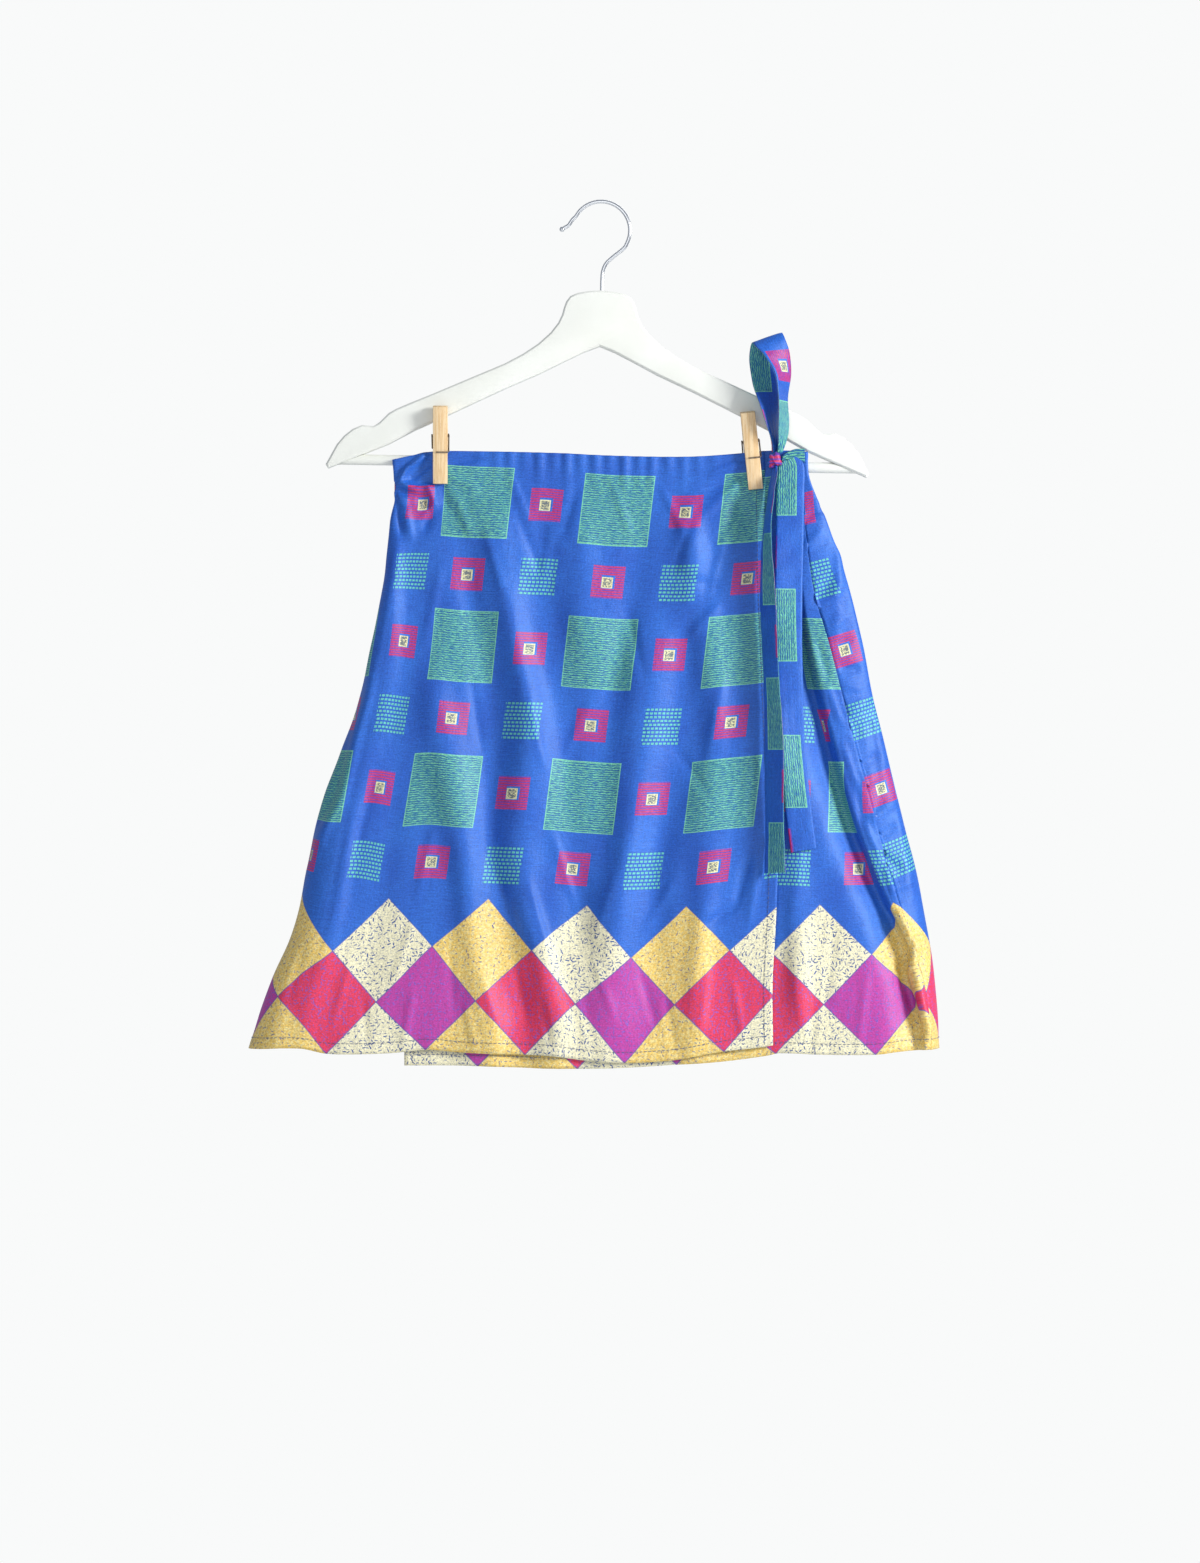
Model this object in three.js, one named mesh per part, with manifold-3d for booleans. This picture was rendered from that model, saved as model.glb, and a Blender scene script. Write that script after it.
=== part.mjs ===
// A wrap skirt of printed silk, held by two wooden pegs on the bar of a white wooden hanger.
// Millimetres, +Z up, +X to the right as the viewer at -Y sees it.
// The origin is the inner crown of the hook, where a rail or nail carries the hanger.
import * as THREE from 'three';
import { mergeVertices } from 'three/addons/utils/BufferGeometryUtils.js';
import Module from 'manifold-3d';

const wasm = await Module();
wasm.setup();

// Cloth
const wall = 1.2;
const skirtLength = 474;
const seamGap = 0.45;
const stackOuter = 8.4;
const stackUnder = 6.8;
const stackBack = 5.2;
const leftSeamAngle = 35;
const underEdge = -157;

// Hanger
const hangerTilt = THREE.MathUtils.degToRad(1);
const plankThickness = 12;
const plankRounding = 1.4;
const barRadius = 4.25;
const barHeight = -209;
const barReach = 209;
const socketClearance = 0.3;
const wireRadius = 1.55;
const hookRadius = 23.1;
const stemTop = -52;
const stemBottom = -82;
const stemX = 1.2;

// Pegs
const pegWidth = 11.6;
const pegOpening = THREE.MathUtils.degToRad(24);
const pegInnerFace = -9.4;
const coilAboveBar = 21;
const coilRadius = 2.4;
const springWire = 0.6;
const pegHalf = { jaw: 40, handle: 21, thick: 6, jawThick: 4.2, handleThick: 3, inner: 0.6, flare: 13 };
const PEGS = [
  { side: 'left', x: -129, lean: 0 },
  { side: 'right', x: 120.7, lean: THREE.MathUtils.degToRad(6.2) },
];

// Ties
const tieWall = 1.2;
const knot = { x: 138.8, y: -12.6, z: -206.5, width: 8.4, depth: 7.8, height: 10 };

// One row for each level of the skirt, in mm below the waist: where its left and right outlines,
// the fold at the right, the right side seam and the outer front's free edge lie, how far the
// front stands forward and the back stands back of the bar's axis, and how wide the left side
// rounds away.
const LEVELS = [
  { drop: 0, left: -167, right: 164, lip: 156, seam: 160.5, edge: 129.6, front: 8.4, back: -5.2, turn: 4 },
  { drop: 20, left: -166, right: 165.5, lip: 157, seam: 161, edge: 130, front: 9.4, back: -5, turn: 5 },
  { drop: 56, left: -168.5, right: 180, lip: 157.5, seam: 161.6, edge: 130.4, front: 13, back: -2, turn: 7 },
  { drop: 108, left: -175.6, right: 197.8, lip: 160, seam: 168.5, edge: 131.2, front: 17, back: 3, turn: 9 },
  { drop: 148, left: -184, right: 207.2, lip: 166, seam: 180, edge: 132.8, front: 19.5, back: 6, turn: 11 },
  { drop: 194, left: -193.1, right: 216.8, lip: 176.5, seam: 192, edge: 134.4, front: 22, back: 9, turn: 14 },
  { drop: 232, left: -205.6, right: 225.8, lip: 186, seam: 202, edge: 136, front: 24, back: 11, turn: 18 },
  { drop: 280, left: -222.2, right: 237.2, lip: 199, seam: 215, edge: 138.4, front: 26, back: 13, turn: 23 },
  { drop: 327, left: -235.6, right: 249, lip: 216.5, seam: 227.5, edge: 139.7, front: 28, back: 15, turn: 25 },
  { drop: 378, left: -246, right: 259.4, lip: 238, seam: 242, edge: 138, front: 30, back: 16.5, turn: 26 },
  { drop: 424, left: -265, right: 265.6, lip: 252, seam: 256, edge: 135.4, front: 31.5, back: 18, turn: 27 },
  { drop: 474, left: -281.6, right: 269.4, lip: 257, seam: 261, edge: 135.7, front: 33, back: 19, turn: 27 },
];

// The waist and the hems, as heights along the width.
const WAIST = [
  { x: -170, z: -206.8 }, { x: -150, z: -202.4 }, { x: -134, z: -199.6 }, { x: -98, z: -199.5 },
  { x: -34, z: -201 }, { x: 0, z: -202.7 }, { x: 46, z: -203.9 }, { x: 78, z: -203.5 },
  { x: 110, z: -201.1 }, { x: 132, z: -199 }, { x: 150, z: -198.9 }, { x: 164, z: -199.9 },
];
const HEM_OUTER = [
  { x: -282, z: -676 }, { x: -240, z: -675 }, { x: -217, z: -679.3 }, { x: -170, z: -678.8 },
  { x: -138, z: -676 }, { x: -113, z: -678 }, { x: -60, z: -680 }, { x: -42, z: -680.6 },
  { x: -17, z: -684 }, { x: 14, z: -686.3 }, { x: 55, z: -684.5 }, { x: 96, z: -677.4 },
  { x: 121, z: -674.7 }, { x: 137, z: -672.3 },
];
const HEM_UNDER = [
  { x: -158, z: -688.6 }, { x: -104, z: -688.8 }, { x: -41, z: -691 }, { x: 14, z: -690.6 },
  { x: 58, z: -688.1 }, { x: 96, z: -685.5 }, { x: 131, z: -680.9 }, { x: 141, z: -678.9 },
  { x: 174, z: -680 }, { x: 217, z: -680 }, { x: 237, z: -677.8 }, { x: 270, z: -675.5 },
];
const HEM_BACK = [
  { x: -282, z: -676 }, { x: -200, z: -679 }, { x: -110, z: -677 }, { x: -30, z: -681 },
  { x: 60, z: -679 }, { x: 150, z: -681.5 }, { x: 217, z: -680 }, { x: 270, z: -675.5 },
];

// The soft folds of the front: where each runs at four heights, its half width, how far it stands
// forward, or back when negative, and between which drops it lives.
const foldDrops = [60, 190, 320, 450];
const FRONT_FOLDS = [
  { name: 'left ridge', at: [-162, -181, -206, -228], width: 9, rise: 1.6, from: 40, to: 470 },
  { name: 'left hollow', at: [-140, -164, -166, -168], width: 14, rise: -2.6, from: 60, to: 420 },
  { name: 'second ridge', at: [-158, -148, -121, -96], width: 15, rise: 5.4, from: 150, to: 500 },
  { name: 'second hollow', at: [-118, -95, -88, -70], width: 13, rise: -4.6, from: 60, to: 480 },
  { name: 'main ridge', at: [-90, -62, -53, -36], width: 13, rise: 6.4, from: 25, to: 500 },
  { name: 'main hollow', at: [-46, -32, -16, 2], width: 14, rise: -4.4, from: 20, to: 230 },
  { name: 'short ridge', at: [-19, -6, 0, 0], width: 13, rise: 4, from: 10, to: 150 },
  { name: 'middle hollow', at: [37, 8, -14, -14], width: 15, rise: -2.6, from: 25, to: 330 },
  { name: 'slanted ridge', at: [42, 35, 9, -16], width: 16, rise: 5.6, from: 130, to: 450 },
  { name: 'right ridge', at: [68, 87, 84, 82], width: 12, rise: 5, from: 15, to: 215 },
  { name: 'right hollow', at: [92, 62, 46, 42], width: 15, rise: -4.2, from: 60, to: 480 },
  { name: 'low right ridge', at: [96, 94, 82, 74], width: 14, rise: 4.8, from: 230, to: 500 },
];
const BACK_FOLDS = [
  { name: 'back left', at: [-120, -140, -165, -190], width: 17, rise: 4, from: 40, to: 500 },
  { name: 'back inner left', at: [-60, -66, -78, -90], width: 16, rise: -3.4, from: 60, to: 500 },
  { name: 'back middle', at: [-8, -2, 6, 10], width: 18, rise: 4.4, from: 30, to: 500 },
  { name: 'back inner right', at: [52, 66, 84, 100], width: 16, rise: -3.4, from: 60, to: 500 },
  { name: 'back right', at: [104, 122, 150, 178], width: 17, rise: 4, from: 40, to: 500 },
];

// The gathers of the waist: where each crest lies, how far it stands out and how long it runs down.
const GATHERS = [
  { at: -98, rise: 0.9, length: 12 }, { at: -84, rise: 1.3, length: 16 }, { at: -73, rise: 1.7, length: 18 },
  { at: -61, rise: 1.5, length: 14 }, { at: -50, rise: 2.1, length: 22 }, { at: -38, rise: 1.7, length: 15 },
  { at: -28, rise: 2.3, length: 24 }, { at: -17, rise: 1.8, length: 16 }, { at: -5, rise: 2.2, length: 19 },
  { at: 6, rise: 1.6, length: 14 }, { at: 18, rise: 2.4, length: 24 }, { at: 30, rise: 1.8, length: 16 },
  { at: 40, rise: 2.1, length: 20 }, { at: 53, rise: 1.9, length: 15 }, { at: 65, rise: 1.6, length: 18 },
  { at: 77, rise: 1.3, length: 13 }, { at: 90, rise: 0.9, length: 10 },
];
const gatherWidth = 3.6;
const foldFade = 60;

// How the cloth leaves the bar and the pegs, as spans of distance over which it comes free.
const frontFree = [6, 44];
const backFree = [6, 60];
const pegAcross = [8.5, 30];
const pegDown = [24, 70];

// The underlap: how it comes forward beside the outer front's edge and draws back below the waist,
// and the valley of the pleat beside the fold at the right.
const besideEdge = { span: [2, 22], share: 0.6 };
const drawnBack = { span: [12, 66], depth: 2.4 };
const pleatValley = { starts: [85, 150], softens: [420, 474], share: 0.35, depth: 6.5, fromLip: 8.5, width: 5.5 };
const leastTurnRadius = 1.15;
const columnBunching = 0.32;

// The tie loop, from the knot up its front band, over the top and down its far band, and the two
// tails: centres, and half the width of the band as a vector.
const LOOP = [
  { x: 141.4, y: -14.2, z: -200.8, wide: [1.6, 2.4, 0] },
  { x: 143.4, y: -17.5, z: -192, wide: [3.4, 6, 0] },
  { x: 144.8, y: -20, z: -180.3, wide: [4.7, 9, 0] },
  { x: 144.2, y: -21, z: -158, wide: [4.2, 10.4, 0] },
  { x: 144, y: -22, z: -138.7, wide: [6.6, 9.6, 0] },
  { x: 139.6, y: -23.5, z: -124.3, wide: [10, 6, 1] },
  { x: 134, y: -22, z: -114.2, wide: [11.8, 2.5, 3] },
  { x: 131.4, y: -16, z: -109.6, wide: [11.8, 1.5, 3.8] },
  { x: 129.8, y: -10.5, z: -115.5, wide: [11.8, 2, 3] },
  { x: 129, y: -8.8, z: -127.5, wide: [11.4, 3.4, 2] },
  { x: 130.4, y: -11, z: -145.9, wide: [10, 6, 1] },
  { x: 133.6, y: -16.4, z: -165.9, wide: [7, 8.6, 0] },
  { x: 136.4, y: -16.2, z: -183.5, wide: [4, 7.8, 0] },
  { x: 137.9, y: -13.4, z: -194, wide: [2.2, 4.4, 0] },
  { x: 137.8, y: -12.8, z: -200.6, wide: [1.4, 2.4, 0] },
];
const RIGHT_TAIL = [
  { x: 147.6, z: -208.4, off: 4.2, wide: [3.6, 0, 2.2] },
  { x: 150.6, z: -215, off: 3.8, wide: [9.8, 0.3, 1.6] },
  { x: 150.2, z: -232, off: 3, wide: [11, 0.6, 0] },
  { x: 149.6, z: -262, off: 2.6, wide: [11, 0.8, 0] },
  { x: 148.4, z: -318, off: 2.6, wide: [11, 0.4, 0] },
  { x: 148.8, z: -366, off: 2.8, wide: [10.4, 1.2, 0] },
  { x: 151.2, z: -430, off: 2.8, wide: [10, 1.8, 0] },
  { x: 155.4, z: -480, off: 3, wide: [10.3, 1.2, 0] },
  { x: 160, z: -518, off: 3.2, wide: [10.3, 0.6, 1.6] },
];
const LEFT_TAIL = [
  { x: 138.2, z: -211.7, off: 4.6, wide: [1.5, -1.8, 0] },
  { x: 137, z: -219, off: 8.5, wide: [2.4, -5.4, 0] },
  { x: 134.4, z: -236, off: 12, wide: [2.8, -9.6, 0] },
  { x: 131, z: -270, off: 13, wide: [3.2, -10.4, 0] },
  { x: 132.4, z: -338, off: 12, wide: [5.8, -9.2, 0] },
  { x: 136, z: -420, off: 11.6, wide: [6.4, -8.8, 0] },
  { x: 136.8, z: -490, off: 11, wide: [7.2, -8.2, 0] },
  { x: 137, z: -535.5, off: 10, wide: [8, -7.4, 0.6] },
];
const STUB = [
  { x: 161.8, y: -10.2, z: -201.4, wide: [0, 0, 3.6] },
  { x: 154, y: -10.8, z: -202.2, wide: [0, 0, 4.6] },
  { x: 147.4, y: -11.6, z: -204, wide: [0.4, 0, 3] },
  { x: 143.8, y: -12.4, z: -205.4, wide: [0.4, 0, 1.8] },
];

// The plank's upper and lower edge, from the middle to the right tip; the left is its mirror image.
const PLANK_TOP = [
  [0, -70.6], [15, -72.2], [24.5, -76], [28.4, -83], [31, -92], [37.5, -103], [52.8, -117], [74, -129.6],
  [98.4, -140.5], [134.9, -156.6], [157.3, -166.1], [168, -172], [173.5, -178], [180.5, -182.6],
  [187.5, -181.2], [198.5, -186.4], [208, -196.4], [213.4, -206.4], [217.2, -213.4],
];
const PLANK_BOTTOM = [
  [215.4, -216.4], [201.2, -210.4], [184.5, -203.6], [164.8, -195.2], [149.5, -186.4], [137.4, -180.8],
  [116.2, -170.3], [79.8, -152.6], [42, -135.4], [18, -122.6], [0, -115.3],
];

// Small helpers
function clamp01(value) {
  return Math.min(1, Math.max(0, value));
}

function ease(from, to, value) {
  const t = clamp01((value - from) / (to - from));
  return t * t * (3 - 2 * t);
}

function bell(distance, width) {
  return Math.exp(-((distance / width) ** 2));
}

// A smooth curve through the rows of a table: key names the column that runs, column the one read.
function track(table, key, column, at) {
  const last = table.length - 1;
  let i = 0;
  while (i < last - 1 && at > table[i + 1][key]) i += 1;
  const slope = (k) => {
    const low = table[Math.max(0, k - 1)];
    const high = table[Math.min(last, k + 1)];
    return (high[column] - low[column]) / (high[key] - low[key]);
  };
  const a = table[i];
  const b = table[i + 1];
  const span = b[key] - a[key];
  const t = clamp01((at - a[key]) / span);
  const rise = (1 - t) * (1 - t) * (a[column] * (1 + 2 * t) + slope(i) * span * t);
  return rise + t * t * (b[column] * (3 - 2 * t) - slope(i + 1) * span * (1 - t));
}

function level(column, drop) {
  return track(LEVELS, 'drop', column, drop);
}

function foldPlace(fold, drop) {
  const rows = foldDrops.map((key, i) => ({ key, x: fold.at[i] }));
  return track(rows, 'key', 'x', drop);
}

function folds(table, x, drop) {
  let sum = 0;
  for (const fold of table) {
    const life = ease(fold.from, fold.from + foldFade, drop) * (1 - ease(fold.to - foldFade, fold.to, drop));
    sum += fold.rise * life * bell(x - foldPlace(fold, drop), fold.width);
  }
  return sum;
}

function gathers(x, drop) {
  let sum = 0;
  for (const gather of GATHERS) {
    sum += gather.rise * bell(x - gather.at, gatherWidth) * bell(drop, gather.length);
  }
  return sum;
}

function barZ(x) {
  return barHeight * Math.cos(hangerTilt) - x * Math.sin(hangerTilt);
}

// How much a peg holds the cloth flat against the bar at this place, from 0 to 1.
function pinch(x, z) {
  let most = 0;
  for (const peg of PEGS) {
    const below = barZ(peg.x) - z;
    const across = 1 - ease(...pegAcross, Math.abs(x - peg.x - below * Math.tan(peg.lean)));
    const down = 1 - ease(...pegDown, below);
    most = Math.max(most, across * down);
  }
  return most;
}

// The form of the skirt
function heightAt(hem, x, t) {
  const top = track(WAIST, 'x', 'z', x);
  return top + t * (track(hem, 'x', 'z', x) - top);
}

function outerDepth(x, t) {
  const drop = t * skirtLength;
  const z = heightAt(HEM_OUTER, x, t);
  const below = barZ(x) - z;
  const fullness = level('front', drop) - stackOuter + folds(FRONT_FOLDS, x, drop);
  const held = 1 - pinch(x, z);
  return -(stackOuter + held * (fullness * ease(...frontFree, below) + gathers(x, drop)));
}

// The underlap follows the outer front a little behind it, and comes forward beside its free edge.
function underDepth(x, t) {
  const drop = t * skirtLength;
  const z = heightAt(HEM_UNDER, x, t);
  const below = barZ(x) - z;
  const fullness = level('front', drop) - stackOuter + folds(FRONT_FOLDS, x, drop);
  const held = 1 - pinch(x, z);
  const free = ease(...besideEdge.span, x - level('edge', drop));
  const drawn = drawnBack.depth * held * ease(...drawnBack.span, drop);
  const behind = (stackOuter - stackUnder + drawn) * (1 - besideEdge.share * free);
  const pleat = ease(...pleatValley.starts, drop) * (1 - pleatValley.share * ease(...pleatValley.softens, drop));
  const fromValley = x - level('lip', drop) + pleatValley.fromLip;
  const valley = pleatValley.depth * pleat * bell(fromValley, pleatValley.width);
  return -(stackOuter + held * fullness * ease(...frontFree, below) - behind - valley);
}

function backDepth(x, t) {
  const drop = t * skirtLength;
  const below = barZ(x) - heightAt(HEM_BACK, x, t);
  const hung = level('back', drop) + stackBack + folds(BACK_FOLDS, x, drop) + gathers(-x, drop * 0.6);
  return -stackBack + hung * ease(...backFree, below);
}

// A side of the skirt rounds away as half an ellipse between the front and the back.
function sideTurn(side, t) {
  const drop = t * skirtLength;
  const outline = level(side < 0 ? 'left' : 'right', drop);
  const reach = side < 0 ? level('turn', drop) : outline - level('lip', drop);
  const front = side < 0 ? outerDepth : underDepth;
  const thick = (backDepth(outline - side * reach, t) - front(outline - side * reach, t)) / 2;
  const round = Math.min(reach, (thick * thick) / leastTurnRadius);
  const start = outline - side * round;
  const frontY = front(start, t);
  const backY = backDepth(start, t);
  return { side, outline, round, start, middle: (frontY + backY) / 2, half: (backY - frontY) / 2 };
}

function turnPoint(turn, angle, t, hem) {
  const x = turn.outline - turn.side * turn.round * (1 - Math.cos(angle));
  return new THREE.Vector3(x, turn.middle + turn.half * Math.sin(angle), heightAt(hem, x, t));
}

function turnStep(turn, angle) {
  return seamGap / Math.hypot(turn.round * Math.sin(angle), turn.half * Math.cos(angle));
}

// The right side seam lies on the front or on the turn, as its place across the width says.
function rightSeam(turn, t) {
  const seam = level('seam', t * skirtLength);
  const inside = turn.outline - seam;
  if (inside >= turn.round) return { onTurn: false, x: seam };
  return { onTurn: true, angle: -Math.acos(1 - inside / turn.round) };
}

// Evenly spread values from a to b, both ends included.
function spread(a, b, count) {
  return Array.from({ length: count + 1 }, (_, i) => a + ((b - a) * i) / count);
}

function outerRow(t, columns) {
  const drop = t * skirtLength;
  const turn = sideTurn(-1, t);
  const row = [];
  for (const angle of spread(THREE.MathUtils.degToRad(leftSeamAngle), -Math.PI / 2, 7)) {
    row.push(turnPoint(turn, angle, t, HEM_OUTER));
  }
  for (const x of spread(turn.start, level('edge', drop), columns).slice(1)) {
    row.push(new THREE.Vector3(x, outerDepth(x, t), heightAt(HEM_OUTER, x, t)));
  }
  return row;
}

function underRow(t, columns) {
  const turn = sideTurn(1, t);
  const seam = rightSeam(turn, t);
  const last = seam.onTurn ? turn.start : seam.x - seamGap / 2;
  const row = [];
  for (const s of spread(0, 1, columns)) {
    const x = underEdge + (last - underEdge) * (s + columnBunching * s * (1 - s));
    row.push(new THREE.Vector3(x, underDepth(x, t), heightAt(HEM_UNDER, x, t)));
  }
  if (seam.onTurn) {
    const end = seam.angle - turnStep(turn, seam.angle) / 2;
    for (const angle of spread(-Math.PI / 2, end, 3).slice(1)) {
      row.push(turnPoint(turn, angle, t, HEM_UNDER));
    }
  }
  return row;
}

function backRow(t, columns) {
  const rightTurn = sideTurn(1, t);
  const leftTurn = sideTurn(-1, t);
  const seam = rightSeam(rightTurn, t);
  const row = [];
  let first = -Math.PI / 2;
  if (seam.onTurn) {
    first = seam.angle + turnStep(rightTurn, seam.angle) / 2;
  } else {
    const x = seam.x + seamGap / 2;
    row.push(new THREE.Vector3(x, underDepth(x, t), heightAt(HEM_BACK, x, t)));
  }
  for (const angle of spread(first, Math.PI / 2, 7)) row.push(turnPoint(rightTurn, angle, t, HEM_BACK));
  for (const x of spread(rightTurn.start, leftTurn.start, columns).slice(1, -1)) {
    row.push(new THREE.Vector3(x, backDepth(x, t), heightAt(HEM_BACK, x, t)));
  }
  const leftSeam = THREE.MathUtils.degToRad(leftSeamAngle);
  const end = leftSeam + turnStep(leftTurn, leftSeam);
  for (const angle of spread(Math.PI / 2, end, 3)) row.push(turnPoint(leftTurn, angle, t, HEM_BACK));
  return row;
}

// A closed wall of cloth on rows of points. Neighbouring rows may have different counts.
function clothWall(rows, thickness) {
  const starts = [];
  const middle = [];
  for (const row of rows) {
    starts.push(middle.length);
    middle.push(...row);
  }
  const faces = [];
  for (let r = 0; r + 1 < rows.length; r += 1) {
    let i = 0;
    let j = 0;
    const upper = rows[r].length - 1;
    const lower = rows[r + 1].length - 1;
    while (i < upper || j < lower) {
      const a = starts[r] + i;
      const b = starts[r + 1] + j;
      if (j === lower || (i < upper && (i + 1) / upper <= (j + 1) / lower)) {
        faces.push([a, b, a + 1]);
        i += 1;
      } else {
        faces.push([a, b, b + 1]);
        j += 1;
      }
    }
  }
  const normals = middle.map(() => new THREE.Vector3());
  for (const [a, b, c] of faces) {
    const side = middle[b].clone().sub(middle[a]);
    const normal = side.cross(middle[c].clone().sub(middle[a]));
    for (const k of [a, b, c]) normals[k].add(normal);
  }
  const count = middle.length;
  const positions = [];
  for (const half of [0.5, -0.5]) {
    middle.forEach((point, k) => {
      const moved = point.clone().addScaledVector(normals[k].normalize(), half * thickness);
      positions.push(moved.x, moved.y, moved.z);
    });
  }
  const rim = [];
  const lastRow = rows.length - 1;
  for (let i = 0; i + 1 < rows[0].length; i += 1) rim.push([i + 1, i]);
  for (let r = 0; r < lastRow; r += 1) rim.push([starts[r], starts[r + 1]]);
  for (let i = 0; i + 1 < rows[lastRow].length; i += 1) rim.push([starts[lastRow] + i, starts[lastRow] + i + 1]);
  for (let r = lastRow; r > 0; r -= 1) {
    rim.push([starts[r] + rows[r].length - 1, starts[r - 1] + rows[r - 1].length - 1]);
  }
  const index = [];
  for (const [a, b, c] of faces) index.push(a, b, c, count + a, count + c, count + b);
  for (const [a, b] of rim) index.push(b, a, count + a, b, count + a, count + b);
  const geometry = new THREE.BufferGeometry();
  geometry.setAttribute('position', new THREE.Float32BufferAttribute(positions, 3));
  geometry.setIndex(index);
  return geometry;
}

// A band with a square section through stations, eased between them.
function band(stations, steps, thickness) {
  const centre = new THREE.CatmullRomCurve3(stations.map((s) => new THREE.Vector3(s.x, s.y, s.z)));
  const wide = new THREE.CatmullRomCurve3(stations.map((s) => new THREE.Vector3(...s.wide)));
  const rows = [];
  for (const s of spread(0, 1, steps)) {
    const p = centre.getPoint(s);
    const w = wide.getPoint(s);
    rows.push([-1, -0.33, 0.33, 1].map((k) => p.clone().addScaledVector(w, k)));
  }
  return clothWall(rows, thickness);
}

// A tail lies in front of the skirt: off is how far its middle stands out from the front's middle.
function tailStations(table) {
  return table.map((s) => {
    const drop = track(WAIST, 'x', 'z', s.x) - s.z;
    return { ...s, y: -(Math.max(level('front', drop), stackOuter) + s.off) };
  });
}

// Joining and cutting
function toSolid(geometry) {
  const bare = new THREE.BufferGeometry();
  bare.setAttribute('position', geometry.attributes.position);
  if (geometry.index) bare.setIndex(geometry.index);
  const merged = mergeVertices(bare, 1e-4);
  return new wasm.Manifold(new wasm.Mesh({
    numProp: 3,
    vertProperties: new Float32Array(merged.attributes.position.array),
    triVerts: new Uint32Array(merged.index.array),
  }));
}

function toGeometry(solid) {
  const mesh = solid.getMesh();
  const geometry = new THREE.BufferGeometry();
  geometry.setAttribute('position', new THREE.Float32BufferAttribute(mesh.vertProperties, 3));
  geometry.setIndex(Array.from(mesh.triVerts));
  return geometry;
}

function rod(radius, length, sides, axis) {
  const geometry = new THREE.CylinderGeometry(radius, radius, length, sides);
  if (axis === 'x') geometry.rotateZ(Math.PI / 2);
  if (axis === 'z') geometry.rotateX(Math.PI / 2);
  return geometry;
}

function wireAlong(points, radius, sides, steps) {
  const circle = new THREE.Shape();
  circle.absarc(0, 0, radius, 0, Math.PI * 2);
  return new THREE.ExtrudeGeometry(circle, {
    extrudePath: new THREE.CatmullRomCurve3(points, false, 'centripetal'),
    steps,
    curveSegments: sides / 2,
    bevelEnabled: false,
  });
}

// Hanger
function hangerBody() {
  const flat = (points) => points.map(([x, z]) => new THREE.Vector2(x, z));
  const mirrored = (points) => points.map((p) => new THREE.Vector2(-p.x, p.y)).reverse();
  const top = new THREE.SplineCurve(flat(PLANK_TOP)).getPoints(28);
  const bottom = new THREE.SplineCurve(flat(PLANK_BOTTOM)).getPoints(14);
  const outline = [...top, ...bottom, ...mirrored(bottom).slice(1), ...mirrored(top).slice(0, -1)];
  const plank = new THREE.ExtrudeGeometry(new THREE.Shape(outline), {
    depth: plankThickness - 2 * plankRounding,
    bevelThickness: plankRounding,
    bevelSize: plankRounding,
    bevelOffset: -plankRounding,
    bevelSegments: 1,
  });
  plank.translate(0, 0, -(plankThickness / 2 - plankRounding));
  plank.rotateX(Math.PI / 2);
  let solid = toSolid(plank);
  const bore = rod(wireRadius + socketClearance, stemTop - stemBottom + 6, 16, 'z');
  bore.translate(stemX, 0, (stemTop + stemBottom) / 2);
  solid = solid.subtract(toSolid(bore));
  const socketLength = 60;
  for (const side of [-1, 1]) {
    const socket = rod(barRadius + socketClearance, socketLength, 20, 'x');
    socket.translate(side * (barReach + socketClearance - socketLength / 2), 0, barHeight);
    solid = solid.subtract(toSolid(socket));
  }
  return toGeometry(solid);
}

function hangerBar() {
  const bar = rod(barRadius, 2 * barReach, 20, 'x');
  bar.translate(0, 0, barHeight);
  return bar;
}

function hangerHook() {
  const centreZ = -22.2;
  const points = [[-31.5, -21.8], [-29.2, -20.4], [-26.2, -18.4], [-23.6, -14.4]];
  const round = spread(152, -38, 15).map((angle) => {
    const turn = THREE.MathUtils.degToRad(angle);
    return [-0.3 + hookRadius * Math.cos(turn), centreZ + hookRadius * Math.sin(turn)];
  });
  const neck = [[9.3, -43.6], [4.2, -48.7], [1.7, -55], [stemX, -62], [stemX, -70], [stemX, stemBottom]];
  const path = [...points, ...round, ...neck].map(([x, z]) => new THREE.Vector3(x, 0, z));
  return wireAlong(path, wireRadius, 10, 46);
}

// Pegs: a half is drawn closed, with s along it (up is the handle) and w outward, then opened.
function pegHalfProfile() {
  const flare = Math.tan(THREE.MathUtils.degToRad(pegHalf.flare));
  const endInner = pegHalf.inner + pegHalf.handle * flare;
  return [
    [-pegHalf.jaw, pegHalf.inner],
    [0, pegHalf.inner],
    [pegHalf.handle, endInner],
    [pegHalf.handle, endInner + pegHalf.handleThick],
    [8, pegHalf.inner + pegHalf.thick + 0.3],
    [-26, pegHalf.inner + pegHalf.thick],
    [-pegHalf.jaw, pegHalf.inner + pegHalf.jawThick],
  ];
}

function pegPiece(sign, opened) {
  const shape = new THREE.Shape(pegHalfProfile().map(([s, w]) => new THREE.Vector2(sign * w, s)));
  const half = new THREE.ExtrudeGeometry(shape, { depth: pegWidth, bevelEnabled: false });
  half.translate(0, 0, -pegWidth / 2);
  half.rotateX(Math.PI / 2);
  half.rotateZ(Math.PI / 2);
  half.rotateX(opened);
  return half;
}

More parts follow.
